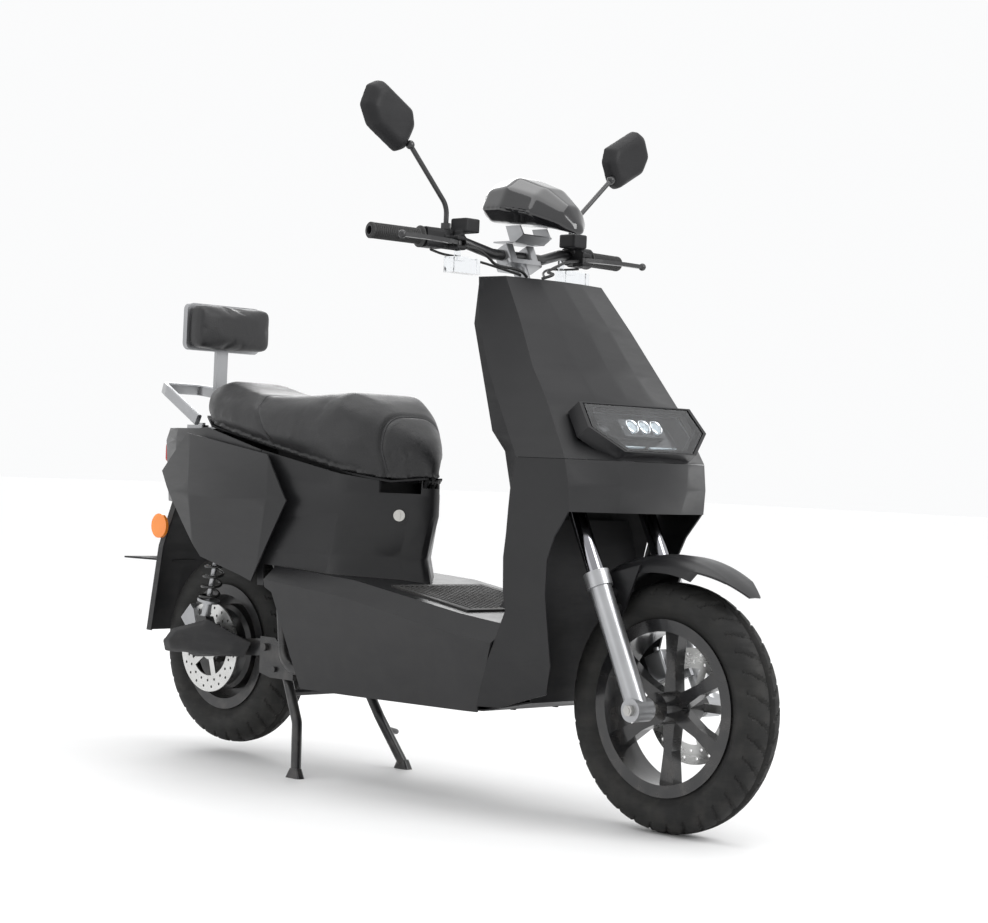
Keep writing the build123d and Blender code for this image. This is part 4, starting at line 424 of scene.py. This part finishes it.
darkChrome = finishOf("darkChrome", (0.22, 0.22, 0.24), (0.30, 0.30, 0.32), 0.08, 0.16, height=0.02,
                      metal=1.0)
brightChrome = finishOf("brightChrome", (0.72, 0.73, 0.75), (0.82, 0.83, 0.84), 0.06, 0.14, height=0.02,
                        metal=1.0)
zincSteel = finishOf("zincSteel", (0.42, 0.42, 0.41), (0.56, 0.55, 0.52), 0.28, 0.45, height=0.12, metal=1.0,
                     dust=0.2)
springPaint = finishOf("springPaint", (0.010, 0.010, 0.010), (0.016, 0.016, 0.016), 0.25, 0.38, height=0.05,
                       coat=0.3)
batteryCase = finishOf("batteryCase", (0.05, 0.055, 0.06), (0.07, 0.075, 0.08), 0.4, 0.55, height=0.25)
seatVinyl = leatherOf("seatVinyl", (0.008, 0.008, 0.009), (0.012, 0.012, 0.013))
stitchThread = finishOf("stitchThread", (0.03, 0.03, 0.032), (0.05, 0.05, 0.052), 0.6, 0.8, grain=1500.0,
                        height=0.5)
clearLens = lensOf("clearLens", (0.96, 0.98, 1.0))
lampGrey = finishOf("lampGrey", (0.12, 0.125, 0.13), (0.17, 0.175, 0.18), 0.3, 0.42, height=0.1)
paleLight = finishOf("paleLight", (0.62, 0.70, 0.74), (0.78, 0.84, 0.86), 0.12, 0.25, grain=260.0, height=0.3,
                     coat=0.5)
redLens = finishOf("redLens", (0.32, 0.008, 0.006), (0.45, 0.012, 0.008), 0.08, 0.16, grain=300.0, height=0.3,
                   coat=0.6)
orangeLens = finishOf("orangeLens", (0.80, 0.20, 0.015), (0.90, 0.27, 0.03), 0.12, 0.2, grain=330.0,
                      height=0.6, coat=0.5)
mirrorGlass = finishOf("mirrorGlass", (0.85, 0.87, 0.88), (0.9, 0.91, 0.92), 0.02, 0.04, height=0.0,
                       metal=1.0)
frontDiscSteel = turnedMetal("frontDiscSteel", (0.58, 0.58, 0.57), (0.68, 0.68, 0.67), frontAxle)
rearDiscSteel = turnedMetal("rearDiscSteel", (0.58, 0.58, 0.57), (0.68, 0.68, 0.67), rearAxle)

cadFinish = {
    framePaint: "main_frame handlebar swingarm centre_stand side_stand rear_hub right_lever left_lever "
                "right_mirror_arm left_mirror_arm",
    mouldedBlack: "storage_tub splash_guard belly_pan rear_mudguard seat_pan switch_housings "
                  "brake_reservoirs swingarm_covers right_mirror_head left_mirror_head leg_shield",
    satinShell: "front_shield front_cowl floorboard seat_cowl right_side_panel left_side_panel tail_cover "
                "front_mudguard",
    satinAlloy: "grab_rail backrest_frame steering_stem dash_bracket fork_lowers front_caliper rear_caliper "
                "shock_lowers",
    glossShell: "headlight_housing dash_pod",
    clearLens: "headlight_lens turn_signals",
    matRubber: "floor_mat horn_button",
    redLens: "rear_lamps",
    batteryCase: "battery_pack",
    zincSteel: "key_switch front_axle",
    darkChrome: "fork_stanchions",
    gripRubber: "left_grip throttle_grip",
    cableSkin: "control_cables",
    rimPaint: "front_rim",
    tyreRubber: "front_tyre rear_tyre",
    frontDiscSteel: "front_disc",
    rearDiscSteel: "rear_disc",
    springPaint: "shock_uppers shock_springs",
    seatVinyl: "seat_cushion backrest_pad",
}
for material, names in cadFinish.items():
    for name in names.split():
        mesh = nodes[name].data
        mesh.materials.clear()
        mesh.materials.append(material)
print("materials made:", len(bpy.data.materials))

bodyOf = {name: body for body, held in frame["record"]["behaviour"]["bodies"].items() for name in held}


def weldedCopy(nodeName, keep=None):
    # a node's triangles welded into one mesh, in millimetres
    bm = bmesh.new()
    bm.from_mesh(nodes[nodeName].data)
    bmesh.ops.scale(bm, vec=(1000,) * 3, verts=bm.verts)
    bmesh.ops.remove_doubles(bm, verts=bm.verts, dist=0.02)
    if keep:
        bmesh.ops.delete(bm, geom=[v for v in bm.verts if not keep(v.co)], context="VERTS")
    return bm


# moulded shells: rounded shading over the ridges, crisp rims
shellSlots = {satinShell: "body_plastic", mouldedBlack: "black_plastic", glossShell: "gloss_black"}
shells = {"front_shield": (satinShell, 44), "front_cowl": (satinShell, 44), "leg_shield": (mouldedBlack, 44),
          "floorboard": (satinShell, 40), "seat_cowl": (satinShell, 50), "right_side_panel": (satinShell, 44),
          "left_side_panel": (satinShell, 44), "tail_cover": (satinShell, 50),
          "front_mudguard": (satinShell, 50), "splash_guard": (mouldedBlack, 40),
          "belly_pan": (mouldedBlack, 40), "rear_mudguard": (mouldedBlack, 40),
          "headlight_housing": (glossShell, 30)}
for name, (material, degrees) in shells.items():
    shell = madeObject(name + "_shell", weldedCopy(name), clean=False)
    smoothShade(shell, degrees)
    place(shell, bodyOf[name], material, shellSlots[material], name)
print("shells done")

# thick moulded bodies with generous edge radii
moulded = {"right_mirror_head": (mouldedBlack, "black_plastic", 2.6, 14),
           "left_mirror_head": (mouldedBlack, "black_plastic", 2.6, 14),
           "dash_pod": (glossShell, "gloss_black", 2.6, 16),
           "brake_reservoirs": (mouldedBlack, "black_plastic", 1.8, 5),
           "swingarm_covers": (mouldedBlack, "black_plastic", 3.0, 4),
           "front_caliper": (satinAlloy, "silver_alloy", 1.8, 4)}
for name, (material, slotName, voxel, soften) in moulded.items():
    body = madeObject(name + "_body", weldedCopy(name), clean=False)
    mod = body.modifiers.new("remesh", "REMESH")
    mod.mode, mod.voxel_size = "VOXEL", voxel / 1000
    settled(body)
    bm = bmesh.new()
    bm.from_mesh(body.data)
    for _ in range(soften):
        bmesh.ops.smooth_vert(bm, verts=bm.verts, factor=0.5, use_axis_x=True, use_axis_y=True,
                              use_axis_z=True)
    bm.to_mesh(body.data)
    bm.free()
    smoothShade(body, 60)
    place(body, bodyOf[name], material, slotName, name)
mirrorPane = {"rim": 9, "corner": 8, "lift": 0.2, "thickness": 0.8}
for label in ("right", "left"):
    # silvered glass on the rider's side of the head
    bm = weldedCopy(label + "_mirror_head")
    bmesh.ops.dissolve_limit(bm, angle_limit=math.radians(1), verts=bm.verts, edges=bm.edges)
    bm.normal_update()
    rear = max((f for f in bm.faces if f.normal.x < -0.8), key=lambda f: f.calc_area())
    bmesh.ops.delete(bm, geom=[f for f in bm.faces if f is not rear], context="FACES")
    inset = bmesh.ops.inset_region(bm, faces=bm.faces[:], thickness=mirrorPane["rim"], use_even_offset=True,
                                   use_boundary=True)
    bmesh.ops.delete(bm, geom=inset["faces"], context="FACES")
    corners = [v for v in bm.verts if v.link_faces]
    bmesh.ops.bevel(bm, geom=corners, offset=mirrorPane["corner"], segments=4, profile=0.5, affect="VERTICES",
                    material=-1)
    bm.faces.ensure_lookup_table()
    bm.normal_update()
    facing = bm.faces[0].normal.copy()
    bmesh.ops.translate(bm, verts=bm.verts, vec=facing * mirrorPane["lift"])
    pane = madeObject(label + "_mirror_glass", bm, clean=False)
    addWall(pane, mirrorPane["thickness"], 0)
    settled(pane)
    place(pane, bodyOf[label + "_mirror_head"], mirrorGlass, "dark_chrome")
print("moulded bodies done")

# lamps inside the headlight
headlight = {"origin": (622, 0, 748), "out": (0.795, 0, 0.607), "up": (-0.607, 0, 0.795),
             "lenses": (-34, 0, 34), "lensHeight": 8, "lensRadius": 12.4,
             "outline": [(-150, 52), (150, 52), (160, -4), (96, -56), (-96, -56), (-160, -4)]}


def lampPoint(u, v, w):
    # u across, v up the lens and w out of it
    return (Vector(headlight["origin"]) + Vector((0, 1, 0)) * u + Vector(headlight["up"]) * v
            + Vector(headlight["out"]) * w)


def lampPiece(name, bm, material, slotName, degrees=40):
    piece = madeObject(name, bm)
    smoothShade(piece, degrees)
    return place(piece, bodyOf["headlight_housing"], material, slotName)


out, r = Vector(headlight["out"]), headlight["lensRadius"]
bm = bmesh.new()
for u in headlight["lenses"]:
    turned(bm, [(0.2, r), (3.0, r + 0.4), (3.8, r + 2.0), (3.0, r + 3.4), (-3.5, r + 3.8), (-3.5, r + 1.2),
                (0.2, r)], lampPoint(u, headlight["lensHeight"], 0), out, steps=40)
lampPiece("projector_rings", bm, brightChrome, "dark_chrome")
bm = bmesh.new()
for u in headlight["lenses"]:
    turned(bm, [(0.1, 0), (0.1, r - 0.4), (1.6, r - 0.8), (3.4, r * 0.62), (4.6, r * 0.3), (4.9, 0)],
           lampPoint(u, headlight["lensHeight"], 0), out, steps=40)
lampPiece("projector_lenses", bm, paleLight, "clear_lens")
bm = bmesh.new()
lightBars = {"rows": ((-45, -37, 66), (-33, -29, 84)), "back": -23.6, "depth": 12, "gap": 6, "slant": 3}
for low, high, half in lightBars["rows"]:
    for sign in (-1, 1):
        near, far = sorted((lightBars["gap"] * sign, half * sign))
        prism(bm, [lampPoint(near, low, lightBars["back"]),
                   lampPoint(far, low + lightBars["slant"], lightBars["back"]),
                   lampPoint(far, high, lightBars["back"]), lampPoint(near, high, lightBars["back"])],
              out * lightBars["depth"])
bevelEdges(bm, sharpEdges(bm, 40), 1.4, 2)
lampPiece("light_bars", bm, paleLight, "clear_lens")
bm = bmesh.new()
addFace(bm, [lampPoint(u * 0.84, v * 0.82, -8) for u, v in headlight["outline"]])
ring = bmesh.ops.inset_region(bm, faces=bm.faces[:], thickness=5, use_even_offset=True, use_boundary=True)
bmesh.ops.delete(bm, geom=[f for f in bm.faces if f not in ring["faces"]], context="FACES")
grown = bmesh.ops.extrude_face_region(bm, geom=bm.faces[:])
bmesh.ops.translate(bm, verts=[g for g in grown["geom"] if isinstance(g, bmesh.types.BMVert)], vec=out * 2.5)
lampPiece("lamp_outline", bm, lampGrey, "silver_alloy")

# ribs of the floor mat
matSpec = {"pitch": 14, "rib": 5, "height": 1.6, "sideEdge": 16, "endEdge": 14}
bm = weldedCopy("floor_mat")
low, high = (Vector([f(v.co[i] for v in bm.verts) for i in range(3)]) for f in (min, max))
bmesh.ops.dissolve_limit(bm, angle_limit=math.radians(1), verts=bm.verts, edges=bm.edges)
y = low.y + matSpec["sideEdge"]
while y < high.y - matSpec["sideEdge"]:
    for edge in (y, y + matSpec["rib"]):
        bmesh.ops.bisect_plane(bm, geom=bm.verts[:] + bm.edges[:] + bm.faces[:], plane_co=(0, edge, 0),
                               plane_no=(0, 1, 0), dist=1e-4)
    y += matSpec["pitch"]
for x in (low.x + matSpec["endEdge"], high.x - matSpec["endEdge"]):
    bmesh.ops.bisect_plane(bm, geom=bm.verts[:] + bm.edges[:] + bm.faces[:], plane_co=(x, 0, 0),
                           plane_no=(1, 0, 0), dist=1e-4)
bm.normal_update()
sunk = []
for f in bm.faces:
    middle = f.calc_center_median()
    between = (middle.y - low.y - matSpec["sideEdge"]) % matSpec["pitch"] > matSpec["rib"]
    inside = (low.x + matSpec["endEdge"] < middle.x < high.x - matSpec["endEdge"]
              and low.y + matSpec["sideEdge"] < middle.y < high.y - matSpec["sideEdge"])
    if f.normal.z > 0.7 and between and inside:
        sunk.append(f)
bmesh.ops.inset_individual(bm, faces=sunk, thickness=0.4, depth=-matSpec["height"])
mat = madeObject("floor_mat_ribs", bm, clean=False)
smoothShade(mat, 25)
place(mat, bodyOf["floor_mat"], matRubber, "rubber_black", "floor_mat")
print("headlight and mat done")

# padded seat and backrest
cushions = {
    "seat_cushion": {"body": bodyOf["seat_cushion"], "voxel": 6.5, "cap": 7, "shrink": 5, "soften": 14,
                     "bottom": (0, 0, -1),
                     "seams": (((-30, 0, 760), (1, 0, 0.05)), ((-378, 0, 760), (0.78, 0, 0.62)))},
    "backrest_pad": {"body": bodyOf["backrest_pad"], "voxel": 5, "cap": 6, "shrink": 4, "soften": 10,
                     "bottom": (-1, 0, 0), "seams": ()},
}
clothFrames, clothPressure = 20, 4
weltRadius = 1.5


def puffed(name, spec):
    # remeshed, softened, then blown up like a stuffed cover; the side that rests on something stays flat
    bm = weldedCopy(name)
    low, high = (Vector([f(v.co[i] for v in bm.verts) for i in range(3)]) for f in (min, max))
    middle, size, down = (low + high) / 2, high - low, Vector(spec["bottom"])
    for v in bm.verts:
        for i in range(3):
            v.co[i] = middle[i] + (v.co[i] - middle[i]) * (1 - 2 * spec["shrink"] / size[i]
                                                           * (0 if down[i] else 1))
    pad = madeObject(name + "_cover", bm, clean=False)
    mod = pad.modifiers.new("remesh", "REMESH")
    mod.mode, mod.voxel_size = "VOXEL", spec["voxel"] / 1000
    settled(pad)
    bm = bmesh.new()
    bm.from_mesh(pad.data)
    bm.normal_update()
    loose = [v for v in bm.verts if v.normal.dot(down) < 0.75]
    for _ in range(spec["soften"]):
        bmesh.ops.smooth_vert(bm, verts=loose, factor=0.5, use_axis_x=True, use_axis_y=True, use_axis_z=True)
    bm.normal_update()
    resting = [v.normal.dot(down) > 0.6 for v in bm.verts]
    bm.to_mesh(pad.data)
    bm.free()
    start = [v.co.copy() for v in pad.data.vertices]
    cloth = pad.modifiers.new("cloth", "CLOTH")
    cloth.settings.use_pressure, cloth.settings.uniform_pressure_force = True, clothPressure
    cloth.settings.effector_weights.gravity = 0
    cloth.point_cache.frame_start, cloth.point_cache.frame_end = 1, clothFrames
    for tick in range(1, clothFrames + 1):
        bpy.context.scene.frame_set(tick)
    settled(pad)
    for v, was, flat in zip(pad.data.vertices, start, resting):
        move = v.co - was
        v.co = was if flat else was + move.normalized() * min(move.length, spec["cap"] / 1000)
    bpy.context.scene.frame_set(1)
    addSubdivision(pad, 1, corners=False)
    settled(pad)
    return pad


def seamLine(pad, point, normal, depth=3.2, width=9, clearOfBase=9):
    # a pressed channel along a plane, with the welt that lies in it
    point, normal = Vector(point) / 1000, Vector(normal).normalized()
    bm = bmesh.new()
    bm.from_mesh(pad.data)
    bm.normal_update()
    for v in bm.verts:
        away = abs((v.co - point).dot(normal)) * 1000
        if away < width:
            v.co -= v.normal * depth / 1000 * (1 - away / width) ** 1.5
    bm.to_mesh(pad.data)
    cut = bmesh.ops.bisect_plane(bm, geom=bm.verts[:] + bm.edges[:] + bm.faces[:], plane_co=point,
                                 plane_no=normal, dist=1e-6)
    edges = [g for g in cut["geom_cut"] if isinstance(g, bmesh.types.BMEdge)]
    bm.normal_update()
    links = {}
    for e in edges:
        for v in e.verts:
            links.setdefault(v, []).append(e.other_vert(v))
    here = max(links, key=lambda v: v.co.z)
    loop, seen = [here], {here}
    while True:
        ahead = [v for v in links[here] if v not in seen]
        if not ahead:
            break
        here = ahead[0]
        seen.add(here)
        loop.append(here)
    kept = [v.co * 1000 + v.normal * 0.2 for v in loop[::3]]
    bottom = min(v.co.z for v in loop) * 1000 + clearOfBase
    first = next(i for i, p in enumerate(kept) if p.z < bottom)
    last = len(kept) - next(i for i, p in enumerate(reversed(kept)) if p.z < bottom)
    line = kept[last:] + kept[:first]
    bm.free()
    return line


for name, spec in cushions.items():
    pad = puffed(name, spec)
    welts = [seamLine(pad, point, normal) for point, normal in spec["seams"]]
    smoothShade(pad, 60)
    place(pad, spec["body"], seatVinyl, "seat_vinyl", name)
    for index, line in enumerate(welts):
        bm = bmesh.new()
        tubeAlong(bm, line, weltRadius, steps=8)
        welt = madeObject("seat_welt_%d" % index, bm)
        smoothShade(welt, 60)
        place(welt, spec["body"], stitchThread, "seat_vinyl")
    print("padded:", name)

# ribbed grips
grips = {"outer": 16, "valley": 14.7, "bore": 11.1, "flange": 21.5, "ribs": 24}
ribPitch = 104 / grips["ribs"]
gripProfile = [(0.5, grips["bore"]), (0.5, grips["outer"] - 1.5), (2, grips["outer"]), (6, grips["outer"])]
for i in range(grips["ribs"]):
    a = 7 + i * ribPitch
    gripProfile += [(a, grips["valley"]), (a + 0.35 * ribPitch, grips["valley"]),
                    (a + 0.45 * ribPitch, grips["outer"] - 0.3),
                    (a + 0.9 * ribPitch, grips["outer"] - 0.3)]
gripProfile += [(113, grips["outer"]), (115, grips["flange"] - 1), (116, grips["flange"]),
                (118.5, grips["flange"]), (119.5, grips["flange"] - 1), (120, grips["outer"]),
                (121.5, grips["outer"] - 1), (121.5, grips["bore"]), (0.5, grips["bore"])]
for name, sign in (("throttle_grip", -1), ("left_grip", 1)):
    bm = bmesh.new()
    turned(bm, gripProfile, barPoint(0, sign), side(-barDir, sign), steps=48)
    grip = madeObject(name + "_sleeve", bm)
    smoothShade(grip, 30)
    place(grip, bodyOf[name], gripRubber, "rubber_black", name)
print("grips done")

# shock springs
coil = {"low": (-560, 302), "direction": (0.2265, 0.974), "start": 48, "length": 184.9, "side": 112,
        "radius": 20.7, "wire": 3.1, "gap": 0.4, "turns": 8.5, "keep": 0.7215}
coilAxis = Vector((coil["direction"][0], 0, coil["direction"][1])).normalized()
across = Vector((0, 1, 0))
outward = coilAxis.cross(across)
bm = bmesh.new()
for sign in (-1, 1):
    inset = coil["wire"] + coil["gap"]
    foot = Vector((coil["low"][0], coil["side"] * sign, coil["low"][1])) + coilAxis * coil["start"]
    line = []
    count = int(coil["turns"] * 18)
    for i in range(count + 1):
        share, angle = i / count, 2 * math.pi * coil["turns"] * i / count
        climb = inset + (coil["length"] - 2 * inset) * min(max((share - 0.05) / 0.9, 0), 1)
        line.append(foot + coilAxis * climb
                    + (across * math.cos(angle) + outward * math.sin(angle)) * coil["radius"])
    tubeAlong(bm, line, coil["wire"], steps=10)
springs = madeObject("shock_coils", bm)
smoothShade(springs, 60)
place(springs, bodyOf["shock_springs"], springPaint, "spring_black", "shock_springs")
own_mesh(springs)
print("springs done")

# tyres with a block tread
tyres = {"front_tyre": {"axle": frontAxle, "outer": 234, "bead": 152.5, "width": 90, "blocks": 34},
         "rear_tyre": {"axle": rearAxle, "outer": 216, "bead": 127, "width": 104, "blocks": 30}}
tread = {"depth": 4.5, "blockGap": 0.17, "slant": 0.9, "shoulder": 0.74, "ringAt": 0.09, "ringHalf": 0.035,
         "middle": 0.12}
for name, spec in tyres.items():
    half, rise = spec["width"] / 2, spec["outer"] - spec["bead"]
    foot = half - 14
    flank = [(foot, spec["bead"] + 0.6), (foot, spec["bead"] + 14), (half - 2, spec["bead"] + 0.36 * rise),
             (half, spec["bead"] + 0.54 * rise), (0.93 * half, spec["bead"] + 0.72 * rise),
             (0.76 * half, spec["bead"] + 0.865 * rise), (0.42 * half, spec["bead"] + 0.965 * rise),
             (0, spec["outer"])]
    outside = [(p.x, p.y) for p in smoothRoute([Vector((y, r, 0)) for y, r in flank], 4)]
    inside = [(foot - 8, spec["bead"] + 0.6), (foot - 8, spec["bead"] + 16),
              (half - 8, spec["bead"] + 0.54 * rise), (0.7 * half, spec["bead"] + 0.78 * rise),
              (0, spec["outer"] - 8)]
    profile = outside + [(-y, r) for y, r in reversed(outside[:-1])]
    profile += ([(-y, r) for y, r in inside[:-1]] + [(0, inside[-1][1])] + list(reversed(inside[:-1]))
                + [outside[0]])
    bm = bmesh.new()
    turned(bm, profile, spec["axle"], (0, 1, 0), steps=spec["blocks"] * 10, up=(0, 0, 1))
    for v in bm.verts:
        out = Vector((v.co.x - spec["axle"].x, 0, v.co.z - spec["axle"].z))
        reach, y = out.length, v.co.y
        share = abs(y) / half
        if reach < spec["bead"] + tread["shoulder"] * rise or reach < spec["outer"] - 8 and share < 0.6:
            continue
        turn = math.atan2(out.x, out.z) / (2 * math.pi) * spec["blocks"]
        slant = turn + share * tread["slant"] + (0.5 if y > 0 else 0)
        groove = slant % 1 < tread["blockGap"] and share > tread["middle"]
        if groove or abs(share - tread["ringAt"]) < tread["ringHalf"] and share < tread["middle"]:
            v.co -= out.normalized() * tread["depth"]
    tyre = madeObject(name + "_tread", bm, clean=False)
    smoothShade(tyre, 30)
    place(tyre, bodyOf[name], tyreRubber, "tyre_rubber", name)
print("tyres done")

# tail lamp and side reflectors
for label, material, keep, slotName in (("tail_lamp", redLens, lambda p: p.z > 600, "red_lens"),
                                        ("side_reflectors", orangeLens, lambda p: p.z < 600, "red_lens")):
    lamp = madeObject(label, weldedCopy("rear_lamps", keep), clean=False)
    smoothShade(lamp, 30)
    place(lamp, bodyOf["rear_lamps"], material, slotName, "rear_lamps")

# studio
studio = {"keyPower": 70, "fillPower": 16, "topPower": 52, "backPower": 40, "worldLevel": 1.0}
scene = bpy.context.scene
world = bpy.data.worlds.new("studio")
scene.world = world
world.use_nodes = True
world.node_tree.nodes["Background"].inputs["Color"].default_value = (0.965, 0.968, 0.972, 1)
world.node_tree.nodes["Background"].inputs["Strength"].default_value = studio["worldLevel"]
scene.view_settings.view_transform = "Standard"

bm = bmesh.new()
bmesh.ops.create_grid(bm, x_segments=2, y_segments=2, size=40)
floorSheet = madeObject("studio_floor", bm, clean=False, scale=1)
floorPaint = finishOf("floorPaint", (0.80, 0.80, 0.80), (0.81, 0.81, 0.81), 0.6, 0.7, grain=40.0, height=0.01)
floorSheet.data.materials.append(floorPaint)
# the far floor glows a little, so it meets the backdrop without an edge
floorTree = floorPaint.node_tree
floorReach = node(floorTree, "ShaderNodeVectorMath", operation="LENGTH")
floorGlow = node(floorTree, "ShaderNodeMapRange", interpolation_type="SMOOTHSTEP")
for label, value in (("From Min", 1.5), ("From Max", 6.0), ("To Min", 0.0), ("To Max", 0.2)):
    floorGlow.inputs[label].default_value = value
floorTint = floorTree.nodes.new("ShaderNodeCombineColor")
joinNodes(floorTree, (floorTree.nodes["Texture Coordinate"].outputs["Object"], floorReach.inputs[0]),
          (floorReach.outputs["Value"], floorGlow.inputs["Value"]))
for channel in range(3):
    joinNodes(floorTree, (floorGlow.outputs["Result"], floorTint.inputs[channel]))
joinNodes(floorTree, (floorTint.outputs["Color"],
                      floorTree.nodes["Principled BSDF"].inputs["Emission Color"]))
floorTree.nodes["Principled BSDF"].inputs["Emission Strength"].default_value = 1.0


def softLight(name, location, target, size, power, tall=None):
    data = bpy.data.lights.new(name, "AREA")
    data.energy, data.size = power, size
    if tall:
        data.shape, data.size_y = "RECTANGLE", tall
    light = bpy.data.objects.new(name, data)
    light.location = location
    light.rotation_euler = (Vector(target) - Vector(location)).to_track_quat("-Z", "Y").to_euler()
    scene.collection.objects.link(light)


softLight("topPanel", (0.2, -0.2, 3.6), (0, 0, 0.6), 3.2, studio["topPower"])
softLight("keyPanel", (3.6, 0.8, 2.6), (0.2, 0, 0.6), 2.0, studio["keyPower"])
softLight("fillPanel", (-0.6, -4.2, 2.0), (0, 0, 0.6), 2.4, studio["fillPower"])
softLight("backPanel", (-3.2, 2.4, 2.6), (0, 0, 0.7), 2.0, studio["backPower"])

viewpoint = {"location": (3.4808, -3.2490, 0.6691), "azimuth": 44.85, "elevation": -0.81, "roll": 2.38,
             "lens": 82.79, "shiftX": -0.01142, "shiftY": -0.0267}
a, e, r = (math.radians(viewpoint[k]) for k in ("azimuth", "elevation", "roll"))
forward = Vector((-math.sin(a) * math.cos(e), math.cos(a) * math.cos(e), -math.sin(e)))
level = Vector((math.cos(a), math.sin(a), 0))
upright = level.cross(forward)
right = level * math.cos(r) + upright * math.sin(r)
up = upright * math.cos(r) - level * math.sin(r)
cameraData = bpy.data.cameras.new("camera")
cameraData.lens, cameraData.sensor_width = viewpoint["lens"], 36
cameraData.shift_x, cameraData.shift_y = viewpoint["shiftX"], viewpoint["shiftY"]
camera = bpy.data.objects.new("camera", cameraData)
scene.collection.objects.link(camera)
camera.matrix_world = (Matrix.Translation(viewpoint["location"])
                       @ Matrix((right, up, -forward)).transposed().to_4x4())
scene.camera = camera
print("studio ready")
